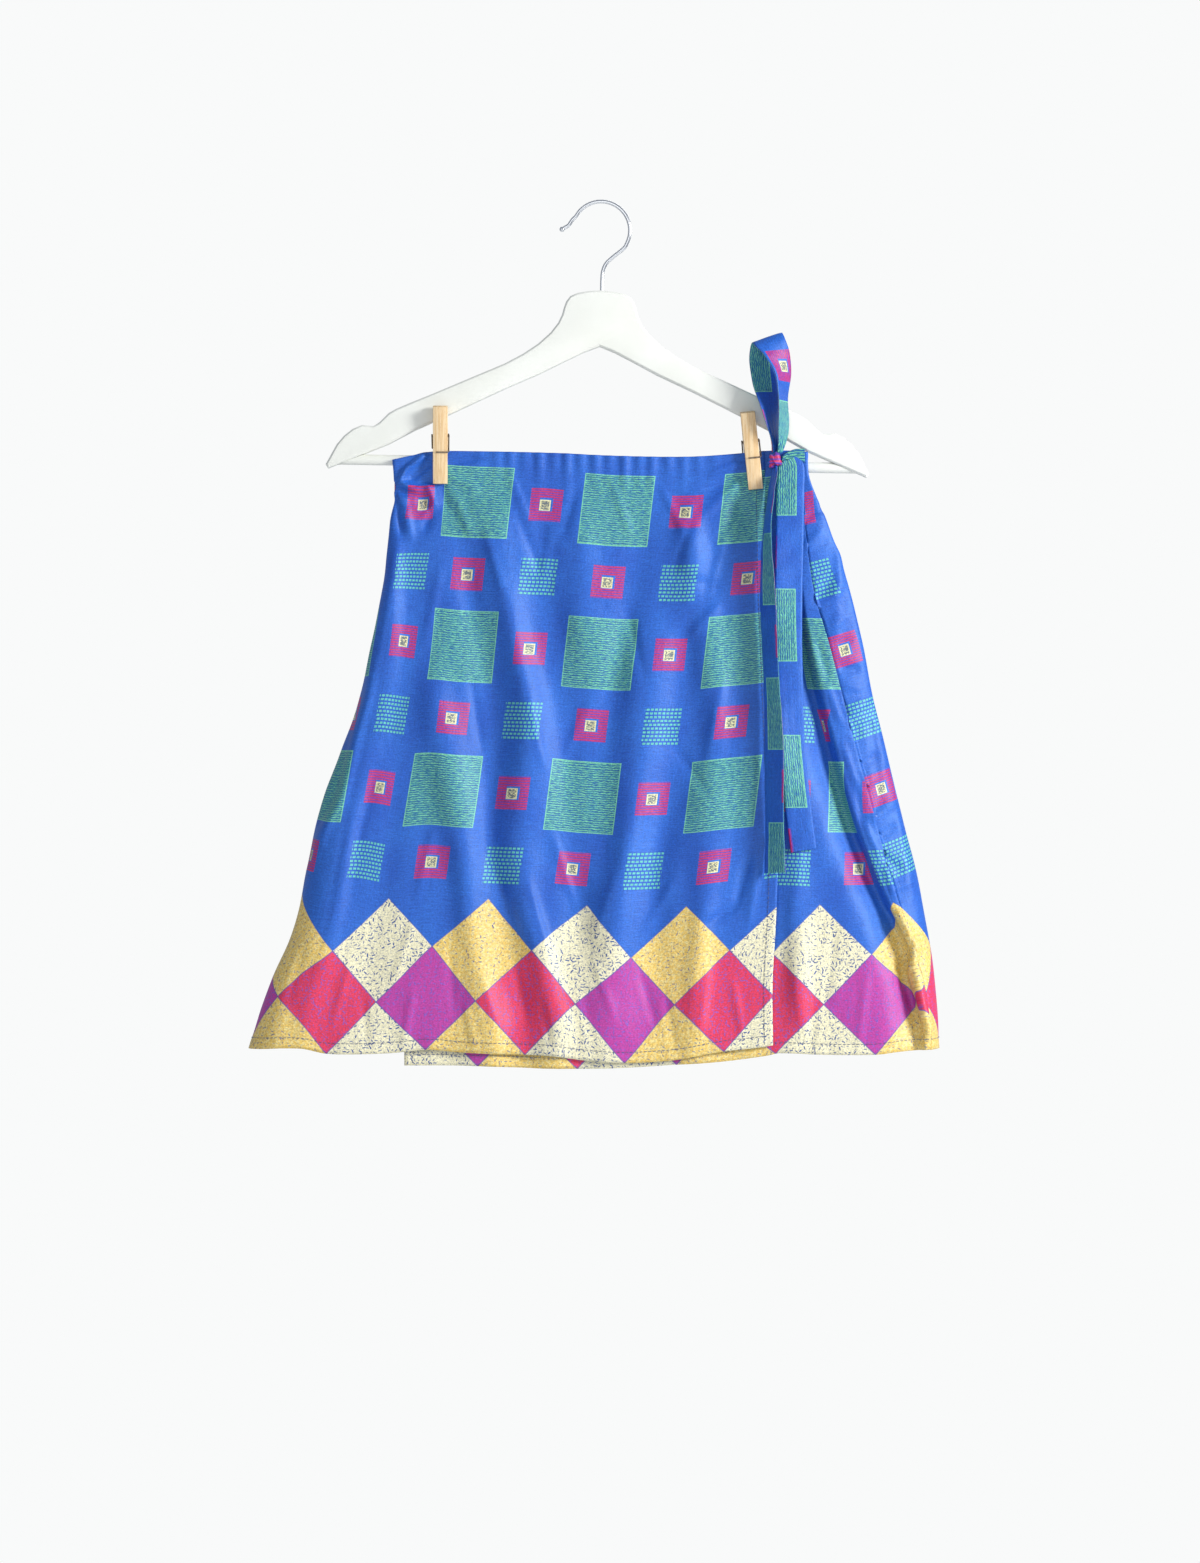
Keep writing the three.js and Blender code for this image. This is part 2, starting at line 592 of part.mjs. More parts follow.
function pegHalfSolid(sign, lean) {
  const coilY = pegInnerFace + pegHalf.inner;
  const opened = sign > 0 ? pegOpening : 0;
  const half = pegPiece(sign, opened);
  half.translate(0, coilY, coilAboveBar);
  let solid = toSolid(half);
  const coilHole = rod(coilRadius + springWire + 0.35, pegWidth + 2, 20, 'x');
  coilHole.translate(0, coilY, coilAboveBar);
  solid = solid.subtract(toSolid(coilHole));
  const barNotch = rod(barRadius + 0.4, pegWidth + 4, 24, 'x');
  barNotch.rotateY(hangerTilt + lean);
  solid = solid.subtract(toSolid(barNotch));
  return toGeometry(solid);
}

// The spring: across the front half, down its side to the coil, round it, and across the back half.
function pegSpring() {
  const coilY = pegInnerFace + pegHalf.inner;
  const side = pegWidth / 2 + springWire + 0.35;
  const outside = pegHalf.inner + pegHalf.thick + springWire + 0.4;
  const reachDown = 15;
  const turn = (s, w) => {
    const c = Math.cos(pegOpening);
    const n = Math.sin(pegOpening);
    return [coilY + w * c - s * n, coilAboveBar + s * c + w * n];
  };
  const points = [];
  for (const x of [-3.4, 0, 3.8, side - 0.9]) {
    points.push(new THREE.Vector3(x, coilY - outside, coilAboveBar - reachDown));
  }
  points.push(new THREE.Vector3(side + 0.1, coilY - outside + 0.6, coilAboveBar - reachDown + 0.3));
  points.push(new THREE.Vector3(side, coilY - outside + 2, coilAboveBar - reachDown + 2));
  points.push(new THREE.Vector3(side, coilY - coilRadius - 0.6, coilAboveBar - 5));
  const turns = 2.5;
  for (const k of spread(0, 1, 24)) {
    const angle = Math.PI + k * turns * 2 * Math.PI;
    const x = side * (1 - 2 * k);
    points.push(new THREE.Vector3(x, coilY + coilRadius * Math.cos(angle), coilAboveBar + coilRadius * Math.sin(angle)));
  }
  for (const [s, w] of [[-5, coilRadius + 0.6], [-reachDown + 2, outside - 2], [-reachDown + 0.3, outside - 0.6]]) {
    const [y, z] = turn(s, w);
    points.push(new THREE.Vector3(-side - 0.05, y, z));
  }
  for (const x of [0.9 - side, -3.8, 0, 3.4]) {
    const [y, z] = turn(-reachDown, outside);
    points.push(new THREE.Vector3(x, y, z));
  }
  return wireAlong(points, springWire, 6, 66);
}

// Ties
function tieKnot() {
  const lump = new THREE.SphereGeometry(0.5, 16, 10);
  lump.scale(knot.width, knot.depth, knot.height);
  lump.translate(knot.x, knot.y, knot.z);
  return lump;
}

// Materials
function finish(color, roughness, metalness = 0) {
  return new THREE.MeshStandardMaterial({ color, roughness, metalness });
}

const silkBlue = () => finish(0x3460cd, 0.45);
const tieSilk = () => finish(0x3c8fa0, 0.45);
const whitePaint = () => finish(0xf4f5f0, 0.5);
const paleWood = () => finish(0xe4c296, 0.7);
const steel = () => finish(0xb9bcc0, 0.25, 1);

function piece(name, geometry, material, parent) {
  const bare = new THREE.BufferGeometry();
  bare.setAttribute('position', geometry.attributes.position);
  if (geometry.index) bare.setIndex(geometry.index);
  const mesh = new THREE.Mesh(mergeVertices(bare, 1e-4), material);
  mesh.name = name;
  parent.add(mesh);
  return mesh;
}

const group = new THREE.Group();

const hanger = new THREE.Group();
hanger.rotation.y = hangerTilt;
group.add(hanger);
piece('hanger_body', hangerBody(), whitePaint(), hanger);
piece('hanger_bar', hangerBar(), whitePaint(), hanger);
piece('hanger_hook', hangerHook(), steel(), hanger);

for (const peg of PEGS) {
  const holder = new THREE.Group();
  holder.position.set(peg.x, 0, barZ(peg.x));
  holder.rotation.y = -peg.lean;
  group.add(holder);
  piece(`peg_${peg.side}_front`, pegHalfSolid(-1, peg.lean), paleWood(), holder);
  piece(`peg_${peg.side}_back`, pegHalfSolid(1, peg.lean), paleWood(), holder);
  piece(`peg_${peg.side}_spring`, pegSpring(), steel(), holder);
}

const nearWaist = [0, 5, 10, 16, 23].map((drop) => drop / skirtLength);
const lowerRows = spread(34 / skirtLength, 1, 16);
const levels = [...nearWaist, ...lowerRows];
const columnsAt = (t, fine, coarse) => (t * skirtLength < 18 ? fine : coarse);
piece('skirt_front_outer', clothWall(levels.map((t) => outerRow(t, columnsAt(t, 78, 42))), wall), silkBlue(), group);
piece('skirt_front_under', clothWall(levels.map((t) => underRow(t, 34)), wall), silkBlue(), group);
piece('skirt_back', clothWall(levels.map((t) => backRow(t, 26)), wall), silkBlue(), group);

piece('tie_knot', tieKnot(), tieSilk(), group);
piece('tie_loop', band(LOOP, 34, tieWall), tieSilk(), group);
piece('tie_tail_right', band(tailStations(RIGHT_TAIL), 26, tieWall), tieSilk(), group);
piece('tie_tail_left', band(tailStations(LEFT_TAIL), 26, tieWall), tieSilk(), group);
piece('tie_stub', band(STUB, 6, tieWall), tieSilk(), group);

export default group;
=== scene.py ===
"""A wrap skirt of printed silk, held by two wooden pegs on the bar of a white wooden hanger.

Shapes are worked out in millimetres and made in metres. +Z is up, +X is to the right and the viewer
is at -Y. The origin is at the crown of the hook.
"""
import math

import bmesh
import bpy
import numpy as np
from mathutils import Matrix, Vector


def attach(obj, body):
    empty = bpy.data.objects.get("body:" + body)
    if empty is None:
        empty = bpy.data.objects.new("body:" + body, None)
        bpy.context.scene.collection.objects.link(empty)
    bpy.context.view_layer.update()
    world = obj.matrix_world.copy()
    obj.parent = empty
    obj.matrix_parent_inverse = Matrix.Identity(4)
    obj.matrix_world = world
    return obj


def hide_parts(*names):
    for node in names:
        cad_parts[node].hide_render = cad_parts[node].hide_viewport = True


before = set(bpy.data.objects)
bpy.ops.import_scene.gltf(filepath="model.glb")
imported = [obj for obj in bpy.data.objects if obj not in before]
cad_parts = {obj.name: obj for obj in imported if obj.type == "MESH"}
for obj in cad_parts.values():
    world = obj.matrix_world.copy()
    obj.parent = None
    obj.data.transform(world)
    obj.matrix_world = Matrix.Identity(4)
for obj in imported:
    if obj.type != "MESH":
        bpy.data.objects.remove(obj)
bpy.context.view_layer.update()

MM = 0.001
BODY = "root"

# Cloth: its thickness, the turned hems and edges, and the depths of the layers where the bar holds them.
SILK = 0.62
HEM_TURN = 8.5
EDGE_TURN = 6.8
TURN_EXTRA = 0.5
SKIRT_LENGTH = 474
STACK_OUTER = 8.4
STACK_UNDER = 6.8
STACK_BACK = 5.2
LEFT_SEAM_ANGLE = math.radians(35)
UNDER_EDGE = -157
SEAM_LAP = 0.9

# Hanger and pegs. The pairs say where the cloth that they hold begins and ends to come free.
HANGER_TILT = math.radians(1)
HELD_ACROSS = (8.5, 30)
HELD_BELOW = (24, 70)
FRONT_FREE_BELOW = (6, 44)
BACK_FREE_BELOW = (6, 60)
BAR_RADIUS = 4.25
BAR_HEIGHT = -209
BAR_REACH = 209
WIRE_RADIUS = 1.55
HOOK_RADIUS = 23.1
HOOK_MIDDLE = (-0.3, -22.2)
HOOK_BALL_RADIUS = 2.15
HOOK_TIP = [(-31.5, -21.8), (-29.2, -20.4), (-26.2, -18.4), (-23.6, -14.4)]
HOOK_NECK = [(9.3, -43.6), (4.2, -48.7), (1.7, -55), (1.2, -62), (1.2, -70), (1.2, -82)]
# Each peg: its side, its place across and how far it leans.
PEGS = [("left", -129, 0.0), ("right", 120.7, math.radians(6.2))]

# The form of the skirt at levels below the waist, close to the solids'.
LEVEL_COLUMNS = ("drop", "left", "right", "lip", "seam", "edge", "front", "back", "turn")
LEVELS = np.array([
    (0, -167, 164, 156, 160.5, 129.6, 8.4, -5.2, 4),
    (20, -166, 165.5, 157, 161, 130, 9.4, -5, 5),
    (56, -168.5, 180, 157.5, 161.6, 130.4, 13, -2, 7),
    (108, -175.6, 197.8, 160, 168.5, 131.2, 17, 3, 9),
    (148, -184, 207.2, 166, 180, 132.8, 19.5, 6, 11),
    (194, -195.2, 216.8, 176.5, 192, 134.4, 22, 9, 14),
    (232, -208.4, 225.8, 186, 202, 136, 24, 11, 18),
    (280, -224.6, 237.2, 199, 215, 138.4, 26, 13, 23),
    (327, -235, 249, 216.5, 227.5, 139.7, 28, 15, 25),
    (378, -246, 259.4, 238, 242, 138, 30, 16.5, 26),
    (424, -265, 265.6, 252, 256, 135.4, 31.5, 18, 27),
    (474, -281.6, 269.4, 257, 261, 135.7, 33, 19, 27),
], float)

# The waist and the hems: place across, height.
WAIST = [
    (-170, -206.8), (-150, -202.4), (-134, -199.6), (-98, -199.5), (-34, -201), (0, -202.7),
    (46, -203.9), (78, -203.5), (110, -201.1), (132, -199), (150, -198.9), (164, -199.9),
]
HEM_OUTER = [
    (-282, -676), (-240, -675), (-217, -679.3), (-170, -678.8), (-138, -676), (-113, -678),
    (-60, -680), (-42, -680.6), (-17, -684), (14, -686.3), (55, -684.5), (96, -677.4),
    (121, -674.7), (137, -672.3),
]
HEM_UNDER = [
    (-158, -688.6), (-104, -688.8), (-41, -691), (14, -690.6), (58, -688.1), (96, -685.5),
    (131, -680.9), (141, -678.9), (174, -680), (217, -680), (237, -677.8), (270, -675.5),
]
HEM_BACK = [
    (-282, -676), (-200, -679), (-110, -677), (-30, -681), (60, -679), (150, -681.5),
    (217, -680), (270, -675.5),
]

# Soft folds: place at four drops, half width, rise, and the drops between which each lives.
FOLD_DROPS = (60, 190, 320, 450)
FRONT_FOLDS = [
    ((-161, -176, -205, -234), 9, 3.4, 40, 500),
    ((-146, -158, -172, -190), 12, -1.4, 60, 470),
    ((-140, -130, -112, -90), 14, 6.4, 150, 510),
    ((-112, -92, -86, -66), 13, -4.6, 50, 490),
    ((-88, -60, -62, -38), 14, 6.8, 20, 510),
    ((-50, -34, -22, -10), 15, -3.8, 20, 430),
    ((-19, -8, -2, 0), 13, 3.4, 10, 190),
    ((30, 10, -12, -22), 15, -3.4, 25, 400),
    ((42, 38, 15, 4), 16, 5.8, 110, 500),
    ((70, 88, 86, 84), 12, 5.6, 15, 265),
    ((94, 64, 46, 40), 15, -4.2, 60, 480),
    ((98, 94, 82, 76), 13, 4.6, 220, 510),
    ((146, 147, 150, 158), 12, 4.8, 200, 470),
]
BACK_FOLDS = [
    ((-120, -140, -165, -190), 17, 4, 40, 500),
    ((-60, -66, -78, -90), 16, -3.4, 60, 500),
    ((-8, -2, 6, 10), 18, 4.4, 30, 500),
    ((52, 66, 84, 100), 16, -3.4, 60, 500),
    ((104, 122, 150, 178), 17, 4, 40, 500),
]

# The gathers of the waist: place, rise, length down.
GATHERS = [
    (-98, 0.9, 12), (-84, 1.3, 16), (-73, 1.7, 18), (-61, 1.5, 14), (-50, 2.1, 22), (-38, 1.7, 15),
    (-28, 2.3, 24), (-17, 1.8, 16), (-5, 2.2, 19), (6, 1.6, 14), (18, 2.4, 24), (30, 1.8, 16),
    (40, 2.1, 20), (53, 1.9, 15), (65, 1.6, 18), (77, 1.3, 13), (90, 0.9, 10),
]
GATHER_WIDTH = 3.6

# Creases: from (x, drop) to (x, drop), half width, and rise, or depth when negative.
FRONT_CREASES = [
    (-141, 2, -156, 10, 2.2, 3.4), (-156, 9, -162, 20, 2.2, 3.2), (-138, 9, -152, 19, 2.4, -2.8),
    (-169, 19, -157, 30, 2.0, -3.0), (-161, 20, -148, 28, 2.2, 3.6), (-149, 28, -137, 28, 2.2, 3.4),
    (-138, 27, -134, 42, 2.3, 3.4), (-133, 41, -143, 52, 2.6, 2.6), (-148, 36, -137, 40, 2.6, -1.8),
    (-163, 30, -155, 36, 2.2, 2.0), (-128, 24, -124, 46, 2.8, -1.6), (-157, 40, -152, 66, 3.0, 1.8),
    (-165, 30, -160, 62, 2.6, -1.8), (-136, 33, -141, 62, 4.0, -1.8), (-122, 10, -96, 5, 2.2, -1.4),
    (-120, 22, -98, 30, 3.4, 1.2), (-118, 34, -104, 66, 4.0, 1.3), (-166, 40, -176, 88, 3.0, 1.3),
    (112, 8, 86, 14, 3.0, 1.0), (112, 18, 82, 28, 3.4, -1.0), (110, 24, 84, 44, 3.4, 1.4),
    (112, 34, 96, 66, 3.4, -1.4), (128, 18, 126, 64, 2.6, 1.1),
    (-92, 66, -78, 112, 3.4, 1.0), (-66, 52, -50, 92, 3.6, -0.9), (-40, 60, -48, 104, 4.0, 0.8),
    (118, 318, 106, 360, 4.2, -2.2), (106, 360, 80, 374, 3.6, -1.6), (124, 330, 116, 376, 3.4, 1.2),
    (60, 330, 34, 372, 3.6, 0.8), (-40, 300, -22, 352, 3.6, 0.9), (-150, 372, -166, 420, 3.4, 0.9),
    (-96, 410, -84, 452, 3.0, 1.0), (-70, 400, -60, 446, 3.0, -0.9), (-122, 390, -118, 440, 3.0, -0.8),
    (-6, 396, 10, 440, 3.2, 0.9), (30, 402, 44, 450, 3.2, -0.9), (84, 404, 78, 452, 3.0, 0.8),
    (-200, 400, -214, 452, 3.2, 0.9), (-236, 392, -250, 440, 3.0, -0.9), (-180, 250, -194, 306, 3.6, -0.9),
    (-72, 20, -60, 52, 3.4, 1.0), (-20, 26, -32, 66, 3.6, -0.9), (8, 20, 22, 60, 3.4, 0.9),
    (48, 26, 66, 60, 3.2, 1.1), (76, 40, 58, 88, 3.6, -1.0), (100, 58, 86, 108, 3.4, 1.1),
    (94, 120, 70, 142, 4.2, 1.1), (60, 96, 92, 104, 3.8, -0.9), (20, 120, 34, 176, 4.0, -0.8),
    (-10, 196, -30, 238, 4.0, 0.8), (-58, 196, -46, 250, 3.6, 0.9), (-104, 180, -96, 236, 3.6, -0.9),
    (-128, 90, -140, 150, 4.0, 0.9), (96, 180, 84, 240, 3.8, 0.9), (60, 232, 84, 268, 3.8, -0.9),
    (-134, 300, -146, 352, 3.6, 0.9), (-84, 330, -66, 384, 3.4, -1.1), (-58, 340, -42, 396, 3.0, 1.2),
    (10, 330, -6, 380, 3.6, 0.8), (120, 240, 110, 300, 3.4, 0.9), (-20, 420, -12, 466, 2.8, 0.9),
    (50, 420, 58, 468, 2.6, -0.9), (-150, 428, -158, 468, 2.8, 1.0), (-190, 430, -186, 470, 2.6, -0.9),
    (104, 420, 112, 466, 2.6, 1.0), (-48, 432, -40, 470, 2.4, -0.8), (-108, 436, -100, 470, 2.6, 0.9),
    (160, 300, 150, 372, 4.0, 0.9), (186, 372, 176, 440, 3.8, -0.9), (210, 410, 204, 466, 3.2, 0.9),
    (152, 400, 160, 460, 3.4, 0.8), (146, 120, 150, 190, 3.6, -0.8), (170, 420, 166, 468, 2.8, -0.8),
]
CREASE_STRENGTH = 1.35
SIDE_CREASES = [
    (176, 62, 160, 78, 3.0, 1.5), (176, 44, 162, 52, 2.6, -1.0), (186, 96, 170, 118, 3.2, -1.6),
    (192, 104, 176, 126, 2.6, 1.2), (196, 128, 180, 140, 2.8, 1.3), (200, 146, 184, 152, 2.4, -1.1),
    (206, 172, 190, 170, 2.8, -1.4), (208, 186, 192, 184, 2.4, 1.1), (212, 196, 196, 206, 3.0, 1.6),
    (216, 214, 200, 222, 2.6, -1.2), (222, 238, 206, 248, 2.8, -1.3), (226, 252, 210, 262, 2.6, 1.3),
    (232, 276, 214, 292, 3.0, 1.5), (234, 296, 220, 304, 2.4, -1.2), (238, 330, 222, 318, 2.8, -1.4),
    (244, 340, 230, 346, 2.4, 1.2), (235, 362, 249, 392, 3.0, 2.6), (228, 364, 242, 396, 3.0, -2.4),
    (250, 390, 246, 412, 2.8, 2.4), (245, 410, 253, 430, 2.8, 2.4), (242, 396, 240, 424, 3.0, -2.6),
    (253, 430, 261, 466, 2.8, 2.2), (243, 424, 254, 462, 3.0, -2.4), (190, 60, 186, 150, 3.2, 1.0),
    (214, 200, 222, 280, 3.4, -1.0), (234, 280, 246, 350, 3.4, 1.0),
    (192, 232, 202, 262, 2.4, 1.5), (204, 268, 208, 296, 2.4, -1.3), (208, 290, 220, 318, 2.4, 1.5),
    (180, 186, 190, 214, 2.4, 1.4), (226, 330, 232, 352, 2.4, 1.4), (172, 150, 180, 178, 2.4, -1.2),
]
BACK_CREASES = [
    (-139, 8, -150, 30, 2.8, 1.6), (-120, 10, -108, 34, 2.8, -1.4), (112, 8, 96, 30, 2.8, 1.4),
    (128, 10, 138, 36, 2.8, -1.2), (-60, 70, -44, 130, 4.0, 1.0), (30, 60, 44, 118, 4.0, -1.0),
    (-150, 220, -168, 290, 4.4, -1.1), (84, 210, 100, 280, 4.4, 1.1), (-20, 300, -30, 380, 4.2, 1.0),
    (150, 330, 164, 400, 4.2, -1.0), (-100, 400, -112, 452, 3.4, 1.0), (50, 402, 62, 450, 3.4, 0.9),
]

# The print, in mm of cloth. Squares stand in rows and columns, staggered, over a lozenge border.
COLUMN_START = -37.5
COLUMN_PITCH = 56.25
ROW_START = 150
ROW_PITCH = 57.8
LOZENGE_HALF_WIDTH = 39.45
LOZENGE_HALF_HEIGHT = 41
RED_LOZENGE = -61.2
PRINT_LEAN = 0.1223
LEAN_FROM = 40
LAST_ROW = 5
PEG_TAKE_UP = 10.4
SWING = 3.4
TEAL_HALF = (28.0, 28.6)
TEAL_INSIDE = (27.3, 27.9)
PINK_HALF = (12.8, 13.2)
BLUE_FRAME_HALF = (5.4, 5.4)
CREAM_HALF = (4.4, 4.4)
CREAM_MIDDLE = (-0.7, -0.5)
SCRIBBLE_HALF = (3.3, 3.6)
DASHED_HALF = (14.8, 15.2)
DASH_PITCH = 3.3
DASH_LINE_PITCH = 3.04
FAR_FROM_BORDER = (0, 400)

# The edge that stands over a darker strip at the left: drop, place across, cloth taken up behind it.
LEFT_EDGE = [
    (0, -190, 0), (150, -186, 0), (183, -188, 8), (216, -197, 20), (267, -209, 24), (299, -225, 14),
    (340, -236, 8), (390, -250, 0), (474, -284, 0),
]

# The fold beside it: drop, where it starts and ends across, and how far it draws the print aside and up.
LEFT_FOLD = [
    (0, -128, -150, 2, 0), (46, -128, -150, 3, 0), (100, -139, -166, 4.2, 2.6), (149, -137, -170, 6.8, 5.6),
    (220, -145, -181, 6.6, 5), (290, -158, -190, 6.4, 5), (360, -172, -206, 3, 4.5), (430, -190, -225, 0, 0),
]

# How far the rows of squares stand above a level line over the hem: place across, height.
ROW_SAG = [(-200, 0), (-100, -0.8), (-45, 0.8), (0, 4.6), (45, 5.8), (78, 2.4), (100, 0.8), (140, 0.4)]
# Where a column of squares stands from the right side seam on the back: drop, distance.
BACK_COLUMN = [(0, -7), (60, -3), (108, 6), (148, 12), (474, 12)]

# How far the lozenges of the border stand above a level line.
BORDER_SAG = [(-200, 0), (-92, 0.8), (-13, 4.4), (68, 5.2), (110, 2.6), (140, 1)]

# Where the pleat at the right takes cloth up: drop, start of the valley left of the lip, take-up.
PLEAT = [
    (0, 14, 8), (60, 18, 20), (130, 24, 34), (190, 22, 38), (215, 12, 44), (300, 6, 40),
    (340, 5, 26), (380, 6, 14), (474, 8, 6),
]


def rgb(red, green, blue):
    """A display colour, from 0 to 255, as the linear colour that a shader takes."""
    def linear(value):
        value /= 255
        return value / 12.92 if value <= 0.04045 else ((value + 0.055) / 1.055) ** 2.4
    return (linear(red), linear(green), linear(blue), 1.0)


# Curves through tables
def clamp01(value):
    return np.clip(value, 0, 1)


def ease(start, end, value):
    t = clamp01((value - start) / (end - start))
    return t * t * (3 - 2 * t)


def bell(distance, width):
    return np.exp(-((distance / width) ** 2))


def track(rows, at, column=1):
    """A smooth curve through rows of numbers, with the place in the first column."""
    rows = np.asarray(rows, float)
    place, value = rows[:, 0], rows[:, column]
    slope = np.empty_like(value)
    slope[1:-1] = (value[2:] - value[:-2]) / (place[2:] - place[:-2])
    slope[0] = (value[1] - value[0]) / (place[1] - place[0])
    slope[-1] = (value[-1] - value[-2]) / (place[-1] - place[-2])
    at = np.asarray(at, float)
    i = np.clip(np.searchsorted(place, at) - 1, 0, len(place) - 2)
    span = place[i + 1] - place[i]
    t = clamp01((at - place[i]) / span)
    rise = (1 - t) ** 2 * (value[i] * (1 + 2 * t) + slope[i] * span * t)
    return rise + t * t * (value[i + 1] * (3 - 2 * t) - slope[i + 1] * span * (1 - t))


def level(name, drop):
    return track(LEVELS, drop, LEVEL_COLUMNS.index(name))


def folds(table, x, drop):
    total = 0.0
    for places, width, rise, start, end in table:
        life = ease(start, start + 60, drop) * (1 - ease(end - 60, end, drop))
        place = track(list(zip(FOLD_DROPS, places)), drop) + 2.2 * np.sin(drop / 31 + places[0])
        swell = 1 + 0.22 * np.sin(drop / 43 + places[1])
        spread = width * (1 + 0.25 * np.sin(drop / 37 + places[2]))
        total = total + rise * life * swell * bell(x - place, spread)
    return total


def gathers(x, drop):
    total = 0.0
    for place, rise, length in GATHERS:
        total = total + rise * bell(x - place, GATHER_WIDTH) * bell(drop, length)
    return total


def creases(table, x, drop):
    total = 0.0
    for x0, drop0, x1, drop1, width, rise in table:
        run, fall = x1 - x0, drop1 - drop0
        length = math.hypot(run, fall)
        along = ((x - x0) * run + (drop - drop0) * fall) / length**2
        across = ((x - x0) * fall - (drop - drop0) * run) / length
        life = ease(-0.2, 0.25, along) * (1 - ease(0.75, 1.2, along))
        total = total + rise * life * bell(across, width)
    return total


def ripples(x, drop, phase):
    """The slight unevenness of a limp silk, about half a millimetre."""
    slow = np.sin(x / 13.1 + drop / 47.0 + phase) * np.sin(drop / 29.0 - x / 61.0 + 2 * phase)
    quick = np.sin(x / 5.3 - drop / 23.0 + 3 * phase) * np.sin(drop / 11.0 + x / 17.0 + phase)
    return 0.5 * slow + 0.2 * quick


def hem_pucker(x, above_hem, phase):
    """The sewn hem draws up into short soft waves."""
    wave = np.sin(x / 3.7 + 1.3 * np.sin(x / 11.0 + phase)) + 0.6 * np.sin(x / 7.9 + phase)
    return 0.32 * wave * bell(above_hem - 4, 9)


def bar_z(x):
    return BAR_HEIGHT * math.cos(HANGER_TILT) - x * math.sin(HANGER_TILT)


def pinch(x, z):
    """How much a peg holds the cloth flat against the bar at this place, from 0 to 1."""
    most = 0.0
    for _, peg_x, lean in PEGS:
        below = bar_z(peg_x) - z
        across = 1 - ease(*HELD_ACROSS, np.abs(x - peg_x - below * math.tan(lean)))
        most = np.maximum(most, across * (1 - ease(*HELD_BELOW, below)))
    return most


# The form of the skirt, close to the solids'
def height_at(hem, x, t):
    top = track(WAIST, x)
    return top + t * (track(hem, x) - top)


def outer_depth(x, t):
    drop = t * SKIRT_LENGTH
    z = height_at(HEM_OUTER, x, t)
    fullness = level("front", drop) - STACK_OUTER + folds(FRONT_FOLDS, x, drop)
    held = 1 - pinch(x, z)
    return -(STACK_OUTER + held * (fullness * ease(*FRONT_FREE_BELOW, bar_z(x) - z) + gathers(x, drop)))


def under_depth(x, t):
    """The underlap lies behind the outer front, and beside the lip of its pleat it sinks to a valley."""
    drop = t * SKIRT_LENGTH
    z = height_at(HEM_UNDER, x, t)
    fullness = level("front", drop) - STACK_OUTER + folds(FRONT_FOLDS, x, drop)
    held = 1 - pinch(x, z)
    free = ease(2, 22, x - level("edge", drop))
    behind = (STACK_OUTER - STACK_UNDER + 2.4 * held * ease(12, 66, drop)) * (1 - 0.6 * free)
    pleat = ease(85, 150, drop) * (1 - 0.35 * ease(420, 474, drop))
    from_valley = x - level("lip", drop) + 6
    valley = 14.5 * pleat * bell(from_valley, np.where(from_valley < 0, 15, 5))
    return -(STACK_OUTER + held * fullness * ease(*FRONT_FREE_BELOW, bar_z(x) - z) - behind - valley)


def back_depth(x, t):
    drop = t * SKIRT_LENGTH
    hung = level("back", drop) + STACK_BACK + folds(BACK_FOLDS, x, drop) + gathers(-x, drop * 0.6)
    return -STACK_BACK + hung * ease(*BACK_FREE_BELOW, bar_z(x) - height_at(HEM_BACK, x, t))


def side_turn(side, t):
    """A side rounds away as half an ellipse: outline, radius across, start, middle and half depth."""
    drop = t * SKIRT_LENGTH
    outline = level("left" if side < 0 else "right", drop)
    reach = level("turn", drop) if side < 0 else outline - level("lip", drop)
    front = outer_depth if side < 0 else under_depth
    inner = outline - side * reach
    thick = (back_depth(inner, t) - front(inner, t)) / 2
    radius = np.minimum(reach, thick * thick / 1.15)
    start = outline - side * radius
    front_y, back_y = front(start, t), back_depth(start, t)
    return outline, radius, start, (front_y + back_y) / 2, (back_y - front_y) / 2


def turn_points(side, t, angles, hem):
    """Points round a side, a row for each t and a column for each angle."""
    outline, radius, _, middle, half = (part[:, None] for part in side_turn(side, t))
    x = outline - side * radius * (1 - np.cos(angles))
    y = middle + half * np.sin(angles)
    return np.stack([x, y, height_at(hem, x, t[:, None])], axis=-1)


def plane_points(x, t, depth, hem):
    return np.stack([x, depth(x, t), height_at(hem, x, t)], axis=-1)


def row_length(points):
    """The length of cloth along each row, from its first column."""
    step = np.hypot(np.diff(points[..., 0], axis=1), np.diff(points[..., 1], axis=1))
    return np.concatenate([np.zeros((len(points), 1)), np.cumsum(step, axis=1)], axis=1)


# The rows of the panels' grids lie closer together in the gathers than below them.
GATHERED_DROP = 26
GATHERED_ROWS = 20
LOWER_ROWS = 158
NEAR_WAIST = np.linspace(0, GATHERED_DROP, GATHERED_ROWS)
DROPS = np.concatenate([NEAR_WAIST, np.linspace(GATHERED_DROP, SKIRT_LENGTH, LOWER_ROWS)[1:]])
LEVEL_T = DROPS / SKIRT_LENGTH

# The columns of the grids: of the flat parts and of the turns round the sides.
OUTER_COLUMNS = 170
OUTER_TURN_COLUMNS = 22
UNDER_COLUMNS = 150
UNDER_TURN_COLUMNS = 8
BACK_COLUMNS = 142
BACK_LEAD_COLUMNS = 8
BACK_RIGHT_COLUMNS = 34
BACK_LEFT_COLUMNS = 12
CLOSE_STEP = 0.02


def drops_of(points):
    """The drop below the waist of each point of a panel."""
    return np.broadcast_to(DROPS[:, None], points.shape[:2])


def height_over(hem, points):
    return points[..., 2] - track(hem, points[..., 0])


